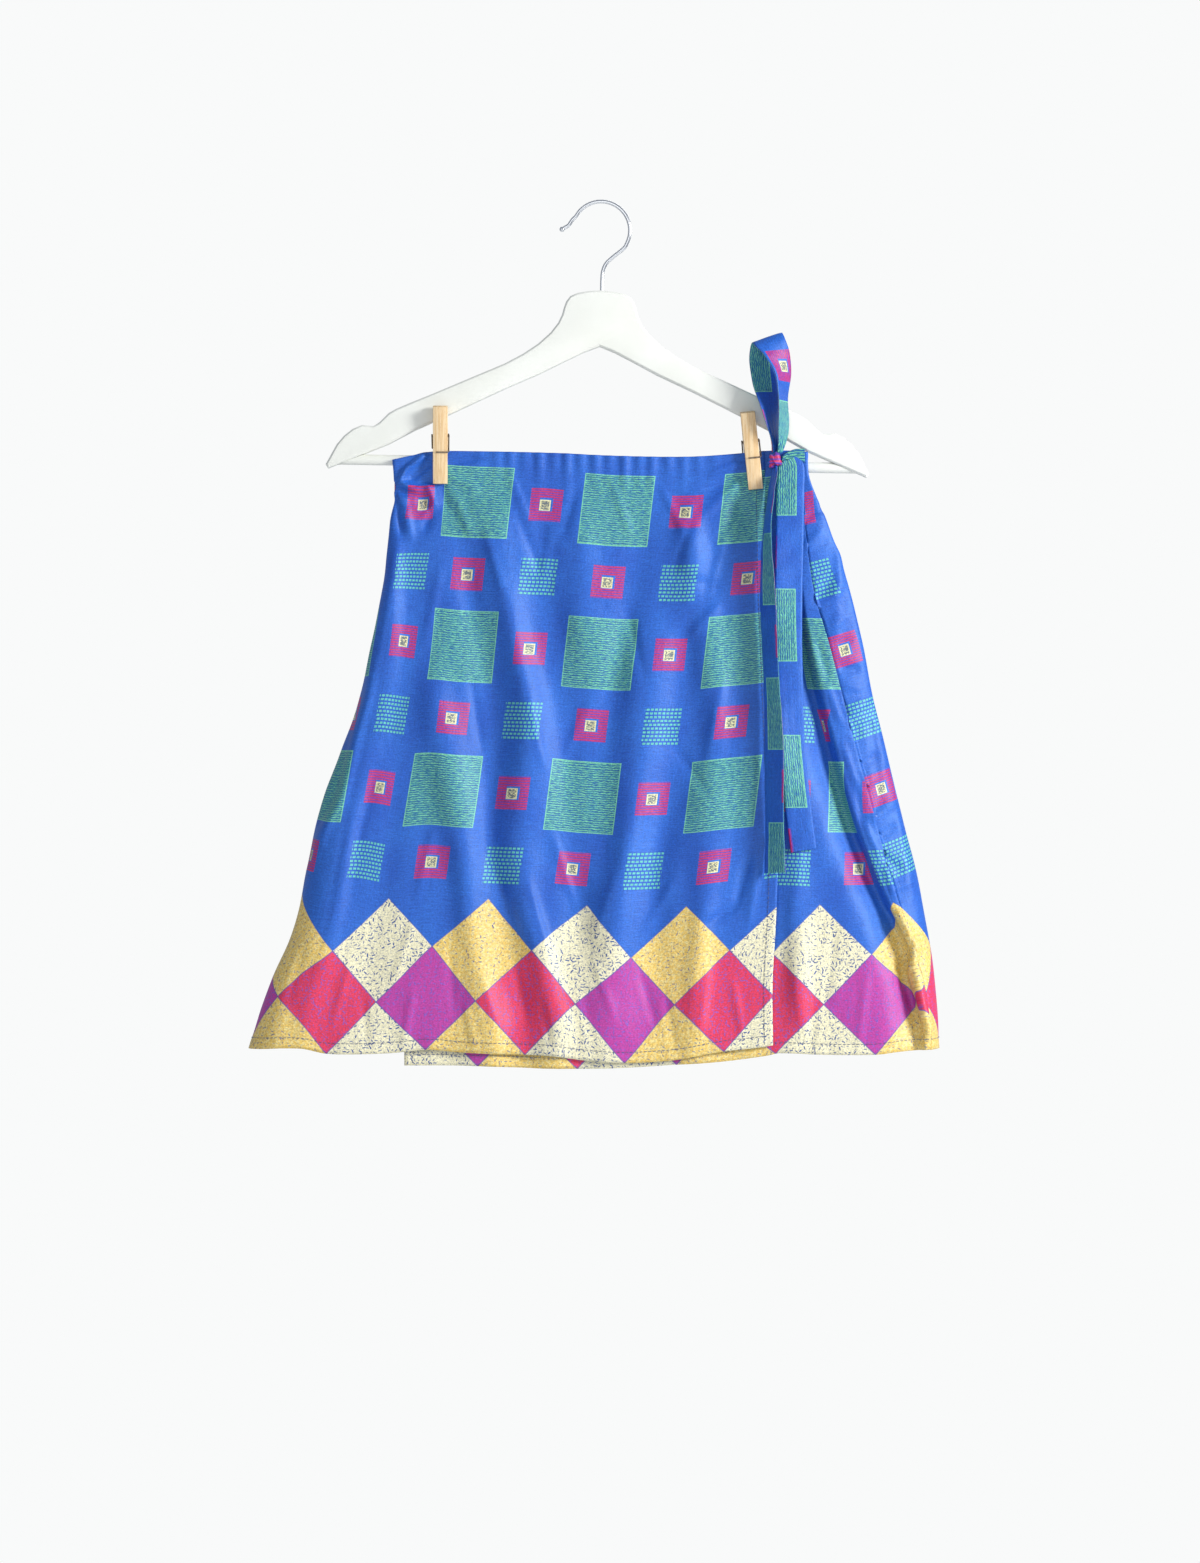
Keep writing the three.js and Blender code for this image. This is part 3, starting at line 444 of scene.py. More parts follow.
# The three panels: points, cloth coordinates of the squares and of the border
def outer_panel():
    """The points of the outer front, with the place across of each in the flat cloth."""
    t = LEVEL_T
    angles = np.linspace(LEFT_SEAM_ANGLE, -math.pi / 2, OUTER_TURN_COLUMNS)
    turned = turn_points(-1, t, angles, HEM_OUTER)
    start = side_turn(-1, t)[2][:, None]
    share = np.linspace(0, 1, OUTER_COLUMNS)[1:]
    x = start + (level("edge", DROPS)[:, None] - start) * share
    points = np.concatenate([turned, plane_points(x, t[:, None], outer_depth, HEM_OUTER)], axis=1)
    length = row_length(turned)
    around = start - (length[:, -1:] - length)
    cloth_x = np.concatenate([around, x], axis=1)
    return points, cloth_x


def outer_print(points, cloth_x):
    """The print leans, sags and swings, and folds and pegs take cloth up beside it."""
    x = points[..., 0]
    drop = drops_of(points)
    high = height_over(HEM_OUTER, points)
    taken_at_peg = PEG_TAKE_UP * ease(-122, -140, x) * (1 - ease(20, 324, drop))
    taken_at_ridge = track(LEFT_EDGE, drop, 2) * (1 - ease(-2.5, 1, x - track(LEFT_EDGE, drop)))
    swing = SWING * bell(high - 260, 130) * (1 - 0.7 * ease(-110, 20, x))
    twist = bell(x + 143, 15) * bell(drop - 42, 24)
    fold_start, fold_end, aside, up = (track(LEFT_FOLD, drop, column) for column in (1, 2, 3, 4))
    drawn = ease(0, 1, (x - fold_start) / (fold_end - fold_start))
    border_u = cloth_x - PRINT_LEAN * np.maximum(high - LEAN_FROM, 0)
    u = border_u - taken_at_peg - taken_at_ridge - swing - 3 * twist - drawn * aside
    v = high * (1 + 0.02 * ease(-100, 100, x)) - track(ROW_SAG, x) * (0.5 + high / 880) - drawn * up
    squares = np.stack([u, v + 4 * twist], axis=-1)
    border_v = high * (1 + 0.075 * ease(-150, 150, x)) - track(BORDER_SAG, x) * ease(0, 40, high)
    return squares, np.stack([border_u, border_v], axis=-1)


def seam_angle(t):
    """The right side seam's place on the turn, as an angle, and which levels have it there."""
    outline, radius = side_turn(1, t)[:2]
    inside = outline - level("seam", t * SKIRT_LENGTH)
    return -np.arccos(np.clip(1 - inside / radius, -1, 1)), inside < radius


def under_panel():
    t = LEVEL_T
    turn_start = side_turn(1, t)[2]
    angle, on_turn = seam_angle(t)
    seam = level("seam", DROPS)
    last = np.where(on_turn, turn_start, seam)[:, None]
    share = np.linspace(0, 1, UNDER_COLUMNS)
    x = UNDER_EDGE + (last - UNDER_EDGE) * (share + 0.32 * share * (1 - share))
    flat = plane_points(x, t[:, None], under_depth, HEM_UNDER)
    steps = np.append(np.linspace(0, 1, UNDER_TURN_COLUMNS)[1:], 1)
    end = np.where(on_turn, angle, -math.pi / 2)[:, None]
    turned = turn_points(1, t, -math.pi / 2 + (end + math.pi / 2) * steps, HEM_UNDER)
    for row in np.flatnonzero(~on_turn):
        turned[row, :, 0] = seam[row] + CLOSE_STEP * steps
        turned[row, :, 1] = flat[row, -1, 1]
        turned[row, :, 2] = flat[row, -1, 2]
    round_turn = row_length(np.concatenate([flat[:, -1:], turned], axis=1))[:, 1:]
    return np.concatenate([flat, turned], axis=1), np.concatenate([x, last + round_turn], axis=1)


def under_print(points, cloth_x):
    """Set from one pink square and one cream lozenge, in mm across and over the hem."""
    x = points[..., 0]
    drop = drops_of(points)
    high = height_over(HEM_UNDER, points)
    lip = level("lip", drop)
    taken = track(PLEAT, drop, 2) * ease(lip - track(PLEAT, drop, 1), lip - 1, x)
    pink_x, pink_high, cream_x, lean, fullness = 204.8, 147, 176, 0.037, 1.05
    u = COLUMN_START + (cloth_x - pink_x - lean * (high - pink_high)) * fullness + taken
    cream = RED_LOZENGE + LOZENGE_HALF_WIDTH
    border_u = cloth_x - cream_x + cream + taken + lean * (high - LOZENGE_HALF_HEIGHT)
    return np.stack([u, high * 1.015], axis=-1), np.stack([border_u, high * 1.03], axis=-1)


def back_panel():
    t = LEVEL_T
    angle, on_turn = seam_angle(t)
    right_start = side_turn(1, t)[2]
    seam = level("seam", DROPS)
    first = np.where(on_turn, angle, -math.pi / 2)[:, None]
    turn_share = np.linspace(0, 1, BACK_RIGHT_COLUMNS)
    right = turn_points(1, t, first + (math.pi / 2 - first) * turn_share, HEM_BACK)
    lead_x = np.where(on_turn, right[:, 0, 0], seam)[:, None]
    lead_share = np.linspace(0, 1, BACK_LEAD_COLUMNS)[:-1]
    lead = lead_x + (right[:, :1, 0] - lead_x) * lead_share
    front = plane_points(lead, t[:, None], under_depth, HEM_UNDER)
    front[on_turn, :, 1] = right[on_turn, :1, 1]
    front[on_turn, :, 0] -= CLOSE_STEP * (1 - lead_share)
    left_start = side_turn(-1, t)[2]
    share = np.linspace(0, 1, BACK_COLUMNS)[1:-1]
    x = right_start[:, None] + (left_start - right_start)[:, None] * share
    plane = plane_points(x, t[:, None], back_depth, HEM_BACK)
    left_angles = np.linspace(math.pi / 2, LEFT_SEAM_ANGLE, BACK_LEFT_COLUMNS)
    left = turn_points(-1, t, left_angles, HEM_BACK)
    return np.concatenate([front, right, plane, left], axis=1)


def back_print(points):
    """Set from the dashed column beside the right seam. The rows fall away from it and then level out."""
    from_seam = row_length(points)
    high = height_over(HEM_BACK, points)
    column_in, tilt, reach = track(BACK_COLUMN, drops_of(points)), math.tan(math.radians(15)), 60
    beyond = np.maximum(from_seam - column_in, 0)
    rise = tilt * (np.minimum(from_seam - column_in, 0) + reach * (1 - np.exp(-beyond / reach)))
    dashed = COLUMN_START + COLUMN_PITCH
    red_in, squeeze = 24.6, 1.4
    squares = np.stack([dashed + from_seam - column_in, high * 1.0345 - rise - 11], axis=-1)
    near = np.minimum(from_seam, 30)
    border_u = RED_LOZENGE + (near - red_in) * squeeze + from_seam - near
    return squares, np.stack([border_u, high - 0.3 * rise], axis=-1)


# Meshes
BUNCHED = 0.12


def normals_of(points):
    """Outward normals of a grid whose rows run down and whose columns run round the skirt.

    Columns that are bunched together take the nearest good normal of their row.
    """
    down = np.gradient(points, axis=0)
    along = np.gradient(points, axis=1)
    normal = np.cross(down, along)
    length = np.linalg.norm(normal, axis=-1, keepdims=True)
    normal = normal / np.maximum(length, 1e-9)
    apart = np.linalg.norm(along, axis=-1) > BUNCHED
    for row in np.flatnonzero(~apart.all(axis=1) & apart.any(axis=1)):
        good, bad = np.flatnonzero(apart[row]), np.flatnonzero(~apart[row])
        nearest = good[np.abs(bad[:, None] - good).argmin(axis=1)]
        normal[row, bad] = normal[row, nearest]
    return normal


def grid_faces(rows, columns, offset=0, flip=False):
    index = np.arange(rows * columns).reshape(rows, columns) + offset
    quads = np.stack([index[:-1, :-1], index[1:, :-1], index[1:, 1:], index[:-1, 1:]], axis=-1)
    quads = quads.reshape(-1, 4)
    return quads[:, ::-1] if flip else quads


def rim_loop(rows, columns):
    index = np.arange(rows * columns).reshape(rows, columns)
    return np.concatenate([index[0, :-1], index[:-1, -1], index[-1, :0:-1], index[:0:-1, 0]])


def ring_faces(rings, around, first=0, flip=False):
    """Faces over rings of points, closed at both ends."""
    faces = []
    for ring in range(rings - 1):
        for k in range(around):
            a = first + ring * around + k
            b = first + ring * around + (k + 1) % around
            faces.append((a, b, b + around, a + around) if flip else (a, a + around, b + around, b))
    near = tuple(range(first, first + around))
    far = tuple(k + (rings - 1) * around for k in near)
    return faces + ([near[::-1], far] if flip else [near, far[::-1]])


def new_object(name, vertices, faces, smooth=True):
    mesh = bpy.data.meshes.new(name)
    mesh.from_pydata((np.asarray(vertices) * MM).tolist(), [], [list(map(int, f)) for f in faces])
    mesh.update()
    if smooth:
        mesh.shade_smooth()
    obj = bpy.data.objects.new(name, mesh)
    bpy.context.scene.collection.objects.link(obj)
    return obj


def paint_coordinates(obj, name, per_vertex):
    """Stores a pair of cloth coordinates, in mm, for each corner of the mesh."""
    layer = obj.data.uv_layers.new(name=name)
    corners = np.empty(len(obj.data.loops), int)
    obj.data.loops.foreach_get("vertex_index", corners)
    layer.data.foreach_set("uv", per_vertex[corners].astype(np.float32).ravel())


def cloth_shell(name, points, thickness, squares, border, outside, inside, far_squares=None):
    """A thin closed shell of cloth on a grid of points. The far side may have its own place in the print."""
    rows, columns = points.shape[:2]
    normal = normals_of(points)
    half = np.broadcast_to(np.asarray(thickness, float), (rows, columns))[..., None] / 2
    outer = (points + normal * half).reshape(-1, 3)
    inner = (points - normal * half).reshape(-1, 3)
    count = rows * columns
    faces_out = grid_faces(rows, columns)
    faces_in = grid_faces(rows, columns, count, flip=True)
    loop = rim_loop(rows, columns)
    following = np.roll(loop, -1)
    faces_rim = np.stack([loop, following, following + count, loop + count], axis=-1)
    obj = new_object(name, np.concatenate([outer, inner]), np.concatenate([faces_out, faces_in, faces_rim]))
    far = squares if far_squares is None else far_squares
    paint_coordinates(obj, "squares", np.concatenate([squares.reshape(-1, 2), far.reshape(-1, 2)]))
    paint_coordinates(obj, "border", np.concatenate([border.reshape(-1, 2)] * 2))
    obj.data.materials.append(outside)
    obj.data.materials.append(inside)
    slots = np.zeros(len(obj.data.polygons), np.int32)
    slots[len(faces_out):len(faces_out) + len(faces_in)] = 1
    obj.data.polygons.foreach_set("material_index", slots)
    return obj


def moved_out(points, amount):
    return points + normals_of(points) * amount[..., None]


# Shader maths
class Wire:
    """One output of a node. Arithmetic on wires adds Math nodes."""

    def __init__(self, recipe, socket):
        self.recipe = recipe
        self.socket = socket

    def maths(self, operation, *others):
        return self.recipe.maths(operation, self, *others)

    def __add__(self, other):
        return self.maths("ADD", other)

    def __sub__(self, other):
        return self.maths("SUBTRACT", other)

    def __mul__(self, other):
        return self.maths("MULTIPLY", other)

    def __truediv__(self, other):
        return self.maths("DIVIDE", other)

    def __rsub__(self, other):
        return self.recipe.maths("SUBTRACT", other, self)

    def __rtruediv__(self, other):
        return self.recipe.maths("DIVIDE", other, self)

    def __abs__(self):
        return self.maths("ABSOLUTE")

    __radd__ = __add__
    __rmul__ = __mul__

    def floor(self):
        return self.maths("FLOOR")

    def fraction(self):
        return self.maths("FRACT")

    def nearest(self):
        return self.maths("ROUND")

    def odd(self):
        """1 where a whole number is odd, and 0 where it is even."""
        return self.maths("FLOORED_MODULO", 2)

    def above(self, edge, soft):
        return self.recipe.read(
            "ShaderNodeMapRange", "Result", {"interpolation_type": "SMOOTHSTEP"},
            {"Value": self, "From Min": edge - soft, "From Max": edge + soft},
        )

    def below(self, edge, soft):
        return 1 - self.above(edge, soft)


class Recipe:
    """The nodes of one material."""

    def __init__(self, name, **settings):
        self.material = bpy.data.materials.new(name)
        self.material.use_nodes = True
        self.tree = self.material.node_tree
        self.shader = self.tree.nodes["Principled BSDF"]
        for socket, value in settings.items():
            self.shader.inputs[socket.replace("_", " ")].default_value = value

    def plug(self, socket, value):
        if isinstance(value, Wire):
            self.tree.links.new(value.socket, socket)
        else:
            socket.default_value = value

    def add(self, kind, settings=(), sockets=()):
        """Adds a node: first its settings, then the values or links of its sockets."""
        node = self.tree.nodes.new(kind)
        for key, value in dict(settings).items():
            setattr(node, key, value)
        for key, value in dict(sockets).items():
            self.plug(node.inputs[key], value)
        return node

    def read(self, kind, output, settings=(), sockets=()):
        return Wire(self, self.add(kind, settings, sockets).outputs[output])

    def maths(self, operation, *values):
        return self.read("ShaderNodeMath", 0, {"operation": operation}, dict(enumerate(values)))

    def vector(self, x, y, z=0.0):
        return self.read("ShaderNodeCombineXYZ", 0, (), {"X": x, "Y": y, "Z": z})

    def cloth(self, layer):
        uv = self.read("ShaderNodeUVMap", "UV", {"uv_map": layer})
        parts = self.add("ShaderNodeSeparateXYZ", (), {0: uv})
        return Wire(self, parts.outputs["X"]), Wire(self, parts.outputs["Y"])

    def place(self):
        """The place in the object, in mm."""
        here = self.read("ShaderNodeTexCoord", "Object")
        scaled = self.add("ShaderNodeVectorMath", {"operation": "SCALE"}, {0: here, "Scale": 1 / MM})
        parts = self.add("ShaderNodeSeparateXYZ", (), {0: Wire(self, scaled.outputs[0])})
        return tuple(Wire(self, parts.outputs[axis]) for axis in "XYZ")

    def noise(self, vector, detail=2.0, roughness=0.5, distortion=0.0):
        return self.read("ShaderNodeTexNoise", "Fac", (), {
            "Vector": vector, "Scale": 1.0, "Detail": detail, "Roughness": roughness,
            "Distortion": distortion,
        })

    def mix(self, share, first, second):
        node = self.add("ShaderNodeMix", {"data_type": "RGBA"})
        for socket, value in ((node.inputs[0], share), (node.inputs[6], first), (node.inputs[7], second)):
            self.plug(socket, value)
        return Wire(self, node.outputs[2])

    def tone(self, colour, share):
        """A colour made lighter or darker by a share that varies over the surface."""
        grey = self.read("ShaderNodeCombineColor", 0, (), {0: share, 1: share, 2: share})
        node = self.add("ShaderNodeMix", {"data_type": "RGBA", "blend_type": "MULTIPLY"})
        self.plug(node.inputs[0], 1.0)
        self.plug(node.inputs[6], colour)
        self.plug(node.inputs[7], grey)
        return Wire(self, node.outputs[2])

    def bump(self, height, strength, distance):
        return self.read(
            "ShaderNodeBump", "Normal", (), {"Height": height, "Strength": strength, "Distance": distance}
        )

    def finish(self, **sockets):
        for key, value in sockets.items():
            self.plug(self.shader.inputs[key.replace("_", " ")], value)
        return self.material


# The printed silk
GROUND = rgb(38, 100, 196)
GROUND_DEEP = rgb(28, 80, 180)
TEAL = rgb(60, 136, 148)
TEAL_LIGHT = rgb(122, 200, 156)
TEAL_DARK = rgb(24, 80, 152)
PINK = rgb(190, 38, 94)
PINK_LINE = rgb(86, 58, 172)
CREAM_SQUARE = rgb(222, 214, 160)
SCRIBBLE = rgb(50, 70, 100)
DASH = rgb(98, 190, 172)
CREAM = rgb(234, 226, 188)
GOLD = rgb(230, 192, 90)
GOLD_PALE = rgb(236, 219, 150)
RED = rgb(218, 44, 78)
PURPLE = rgb(184, 52, 150)
OUTLINE = rgb(84, 76, 160)
FLECK = rgb(48, 76, 140)
VIOLET_FLECK = rgb(98, 86, 190)
FADED = rgb(150, 172, 218)
SHEEN = rgb(180, 225, 255)
SHINE = rgb(206, 234, 255)
EDGE_SOFT = 0.22


def box_mask(across, up, half_width, half_height):
    return abs(across).below(half_width, EDGE_SOFT) * abs(up).below(half_height, EDGE_SOFT)


def strokes(recipe, u, v, pitch, length, width, seed):
    """Short strokes, one in each cell of a loose scatter, each at its own angle."""
    at = recipe.vector(u / pitch + seed, v / pitch)
    cell = recipe.add("ShaderNodeTexVoronoi", {"voronoi_dimensions": "2D"}, {"Vector": at, "Scale": 1.0})
    shift = recipe.add(
        "ShaderNodeVectorMath", {"operation": "SUBTRACT"}, {0: at, 1: Wire(recipe, cell.outputs["Position"])}
    )
    near = recipe.add("ShaderNodeSeparateXYZ", (), {0: Wire(recipe, shift.outputs[0])})
    local_u, local_v = (Wire(recipe, near.outputs[axis]) * pitch for axis in "XY")
    chance = recipe.add("ShaderNodeSeparateColor", (), {0: Wire(recipe, cell.outputs["Color"])})
    turn = Wire(recipe, chance.outputs[0]) * (2 * math.pi)
    size = Wire(recipe, chance.outputs[1])
    cosine, sine = turn.maths("COSINE"), turn.maths("SINE")
    along = abs(local_u * cosine + local_v * sine)
    across = abs(local_v * cosine - local_u * sine)
    return (along - size * length).below(0, 0.3) * (across - size * width).below(0, 0.14)


def teal_square(recipe, u, v):
    waver = recipe.noise(recipe.vector(u / 2.8, v / 4), 2.0)
    wave = ((v + waver * 2.2) * (2 * math.pi / 1.8)).maths("SINE")
    broken = recipe.noise(recipe.vector(u / 4.4 + 40, v / 1.05), 2.0, 0.6)
    stroke = wave * 0.5 + broken * 2.4
    colour = recipe.mix(stroke.above(1.5, 0.3) * 0.9, TEAL, TEAL_LIGHT)
    return recipe.mix(stroke.below(0.9, 0.3) * 0.9, colour, TEAL_DARK)


def pink_square(recipe, u, v, across, up):
    lines = (v * (2 * math.pi / 2.0)).maths("SINE")
    gap = recipe.noise(recipe.vector(u / 5, v / 1.2), 2.0)
    colour = recipe.mix((lines * 0.45 + gap * 1.4).above(0.78, 0.2) * 0.9, PINK, PINK_LINE)
    colour = recipe.mix(box_mask(across, up, *BLUE_FRAME_HALF), colour, GROUND)
    scribble = recipe.noise(recipe.vector(u / 2.6 + 7, v / 1.15), 1.0)
    pen = abs(scribble - 0.5).below(0.09, 0.03)
    across = across - CREAM_MIDDLE[0]
    up = up - CREAM_MIDDLE[1]
    cream = recipe.mix(pen * box_mask(across, up, *SCRIBBLE_HALF) * 0.85, CREAM_SQUARE, SCRIBBLE)
    return recipe.mix(box_mask(across, up, *CREAM_HALF), colour, cream)


def dashed_square(recipe, u, up):
    line = (up + DASHED_HALF[1]) / DASH_LINE_PITCH
    row = line.floor()
    start = recipe.read("ShaderNodeTexWhiteNoise", "Value", {"noise_dimensions": "1D"}, {"W": row})
    dash = (u / DASH_PITCH + start).fraction() - 0.42
    on = abs(dash).below(0.36, 0.06) * abs(line.fraction() - 0.5).below(0.28, 0.08)
    return recipe.mix(on * 0.92, GROUND_DEEP, DASH)


def squares_print(recipe, ground):
    """The rows of squares on the blue ground."""
    u, v = recipe.cloth("squares")
    column = ((u - COLUMN_START) / COLUMN_PITCH).nearest()
    row = ((v - ROW_START) / ROW_PITCH).nearest()
    across = u - COLUMN_START - column * COLUMN_PITCH
    up = v - ROW_START - row * ROW_PITCH
    column_odd, row_odd = column.odd(), row.odd()
    shown = row.above(-0.5, 0.1) * row.below(LAST_ROW + 0.5, 0.1)
    is_pink = (1 - abs(column_odd - row_odd)) * shown
    is_teal = (1 - column_odd) * row_odd * shown
    is_dashed = column_odd * (1 - row_odd) * shown
    teal = teal_square(recipe, u, v)
    pink = pink_square(recipe, u, v, across, up)
    dashed = dashed_square(recipe, u, up)
    colour = recipe.mix(is_teal * box_mask(across, up, *TEAL_HALF), ground, TEAL_LIGHT)
    colour = recipe.mix(is_teal * box_mask(across, up, *TEAL_INSIDE), colour, teal)
    colour = recipe.mix(is_pink * box_mask(across, up, *PINK_HALF), colour, pink)
    return recipe.mix(is_dashed * box_mask(across, up, *DASHED_HALF), colour, dashed)


def border_print(recipe, above):
    """Three rows of lozenges along the hem, with the squares' print above them."""
    u, v = recipe.cloth("border")
    x = (u - RED_LOZENGE) / LOZENGE_HALF_WIDTH
    y = v / LOZENGE_HALF_HEIGHT
    rising, falling = (x + y) / 2, (x - y) / 2
    i, j = rising.floor(), falling.floor()
    centre_x, centre_y = i + j + 1, i - j
    in_border = centre_y.below(2.5, 0.1)
    lower = abs(centre_y - 1).below(0.5, 0.1)
    second = (centre_x / 2).floor().odd()
    to_side = recipe.maths("MINIMUM", rising.fraction(), 1 - rising.fraction())
    to_other = recipe.maths("MINIMUM", falling.fraction(), 1 - falling.fraction())
    side = math.hypot(LOZENGE_HALF_WIDTH, LOZENGE_HALF_HEIGHT)
    side_to_side = 2 * LOZENGE_HALF_WIDTH * LOZENGE_HALF_HEIGHT / side
    to_edge = recipe.maths("MINIMUM", to_side, to_other) * side_to_side
    strong = strokes(recipe, u, v, 2.8, 1.7, 0.52, 3.0)
    faint = strokes(recipe, u, v, 1.6, 0.9, 0.34, 11.0)
    mottle = recipe.noise(recipe.vector(u / 9, v / 9), 3.0)
    sparse = recipe.noise(recipe.vector(u / 3.1 + 20, v / 3.1), 1.0).above(0.5, 0.06)
    chosen = 1 - second * (1 - sparse)
    flecks = recipe.maths("MAXIMUM", strong * chosen * (mottle * 1.7 + 0.15), faint * 0.35)
    cloud = recipe.noise(recipe.vector(u / 2.4, v / 2.4), 2.0)
    gold = recipe.mix(cloud.above(0.52, 0.1) * 0.7, GOLD, GOLD_PALE)
    pale = recipe.mix(second, CREAM, gold)
    pale = recipe.mix(flecks * (1 - second * 0.3), pale, FLECK)
    bright = recipe.mix(second, RED, PURPLE)
    bright = recipe.mix(recipe.maths("MAXIMUM", strong * 0.7, faint * 0.3), bright, VIOLET_FLECK)
    colour = recipe.mix(lower, pale, bright)
    colour = recipe.mix(to_edge.below(0.42, 0.25) * 0.85, colour, OUTLINE)
    return recipe.mix(in_border, above, colour)


def silk(name, fade, roughness):
    """The printed satin. On its wrong side the print is faded by a share of its colour."""
    recipe = Recipe(
        name, Sheen_Weight=0.05, Sheen_Roughness=0.4, Sheen_Tint=SHEEN, Specular_IOR_Level=0.66,
        Specular_Tint=SHINE,
    )
    u, v = recipe.cloth("squares")
    slub = recipe.noise(recipe.vector(u / 14, v / 0.7), 3.0, 0.6)
    warp = recipe.noise(recipe.vector(u / 0.9, v / 30), 2.0, 0.6)
    cloud = recipe.noise(recipe.vector(u / 38, v / 60 + 5), 2.0)
    ground = recipe.mix((slub * 0.6 + cloud * 0.6).above(0.6, 0.2), GROUND_DEEP, GROUND)
    colour = border_print(recipe, squares_print(recipe, ground))
    speckle = recipe.noise(recipe.vector(u / 1.7, v / 1.2 + 9), 2.0, 0.7)
    colour = recipe.tone(colour, slub * 0.42 + warp * 0.32 + speckle * 1.26)
    if fade:
        colour = recipe.mix(fade, colour, FADED)
    grain = recipe.noise(recipe.vector(u / 0.55, v / 0.45), 1.0)
    crumple = recipe.noise(recipe.vector(u / 8, v / 11 + 3), 3.0, 0.55)
    fine = slub * 0.5 + warp * 0.4 + grain * 0.4 + speckle * 0.8 + crumple * 2.3
    return recipe.finish(
        Base_Color=colour,
        Roughness=roughness + grain * 0.12 + speckle * 0.2,
        Normal=recipe.bump(fine, 0.6, 0.0004),
    )


# The other finishes
PAINT = rgb(228, 229, 220)
PAINT_PALE = rgb(235, 236, 229)
WOOD_PALE = rgb(238, 212, 170)
WOOD = rgb(222, 184, 132)
WOOD_PORE = rgb(150, 108, 66)
CHROME = rgb(214, 216, 219)
CHROME_PALE = rgb(236, 238, 240)
STEEL_DARK = rgb(112, 98, 84)
STEEL = rgb(150, 140, 128)
THREAD_DARK = rgb(52, 64, 104)
THREAD_PALE = rgb(88, 104, 150)
FLOOR = rgb(232, 233, 233)
FLOOR_PALE = rgb(238, 239, 239)


def white_paint():
    recipe = Recipe("white_paint", Specular_IOR_Level=0.3)
    x, y, z = recipe.place()
    grain = recipe.noise(recipe.vector(x / 26, y / 3, z / 3), 3.0)
    cloud = recipe.noise(recipe.vector(x / 45, y / 45, z / 45), 2.0)
    colour = recipe.mix(cloud.above(0.5, 0.3), PAINT, PAINT_PALE)
    return recipe.finish(
        Base_Color=colour, Roughness=0.36 + grain * 0.16, Normal=recipe.bump(grain, 0.25, 0.0002)
    )


def peg_wood():
    recipe = Recipe("peg_wood", Specular_IOR_Level=0.35)
    x, y, z = recipe.place()
    ring = recipe.noise(recipe.vector(x / 1.5, y / 3, z / 42), 3.0, 0.6, 0.4)
    fibre = recipe.noise(recipe.vector(x / 0.35, y / 0.6, z / 9), 2.0, 0.6)
    pore = recipe.noise(recipe.vector(x / 0.3, y / 0.5, z / 2.4), 1.0).above(0.68, 0.05)
    colour = recipe.mix(ring.above(0.52, 0.16), WOOD_PALE, WOOD)
    colour = recipe.mix(pore * 0.35, recipe.tone(colour, 0.88 + fibre * 0.22), WOOD_PORE)
    height = ring * 0.6 + fibre * 0.5 - pore * 0.3
    return recipe.finish(
        Base_Color=colour, Roughness=0.55 + fibre * 0.2, Normal=recipe.bump(height, 0.5, 0.0003)
    )


def hook_chrome():
    recipe = Recipe("hook_chrome", Metallic=1.0)
    x, y, z = recipe.place()
    haze = recipe.noise(recipe.vector(x / 4, y / 4, z / 4), 3.0)
    return recipe.finish(
        Base_Color=recipe.mix(haze, CHROME, CHROME_PALE),
        Roughness=0.1 + haze * 0.14, Normal=recipe.bump(haze, 0.1, 0.0001),
    )


def spring_steel():
    recipe = Recipe("spring_steel", Metallic=1.0)
    x, y, z = recipe.place()
    tarnish = recipe.noise(recipe.vector(x / 1.4, y / 1.4, z / 1.4), 3.0)
    return recipe.finish(
        Base_Color=recipe.mix(tarnish.above(0.5, 0.2), STEEL_DARK, STEEL),
        Roughness=0.32 + tarnish * 0.25, Normal=recipe.bump(tarnish, 0.3, 0.0001),
    )


def thread():
    recipe = Recipe("thread", Sheen_Weight=0.2, Specular_IOR_Level=0.4)
    x, y, z = recipe.place()
    ply = recipe.noise(recipe.vector(x / 0.3, y / 0.3, z / 0.3), 1.0)
    return recipe.finish(
        Base_Color=recipe.mix(ply, THREAD_DARK, THREAD_PALE),
        Roughness=0.55 + ply * 0.2, Normal=recipe.bump(ply, 0.4, 0.0001),
    )


def floor_paint():
    recipe = Recipe("floor_paint")
    x, y, z = recipe.place()
    mottle = recipe.noise(recipe.vector(x / 180, y / 180, z / 180), 3.0)
    return recipe.finish(
        Base_Color=recipe.mix(mottle, FLOOR, FLOOR_PALE), Roughness=0.7 + mottle * 0.1
    )


# Making the skirt
def panel_thickness(points, hem, free_edges):
    """Thicker along the waist, the turned hem and the turned free edges."""
    turned = 1 - ease(HEM_TURN - 1.2, HEM_TURN + 0.6, height_over(hem, points))
    turned = np.maximum(turned, 1 - ease(3.2, 5.2, drops_of(points)))
    for distance in free_edges:
        turned = np.maximum(turned, 1 - ease(EDGE_TURN - 1.0, EDGE_TURN + 0.6, distance))
    return SILK + TURN_EXTRA * turned


def front_detail(points, deepest):
    """Creases and ripples of the front. Near the waist none sinks deeper than the layers allow."""
    x = points[..., 0]
    drop = drops_of(points)
    detail = creases(FRONT_CREASES + SIDE_CREASES, x, drop) * CREASE_STRENGTH
    detail = np.maximum(detail, -deepest - 2.5 * ease(30, 80, drop))
    return detail + ripples(x, drop, 0.4) * ease(10, 60, drop)


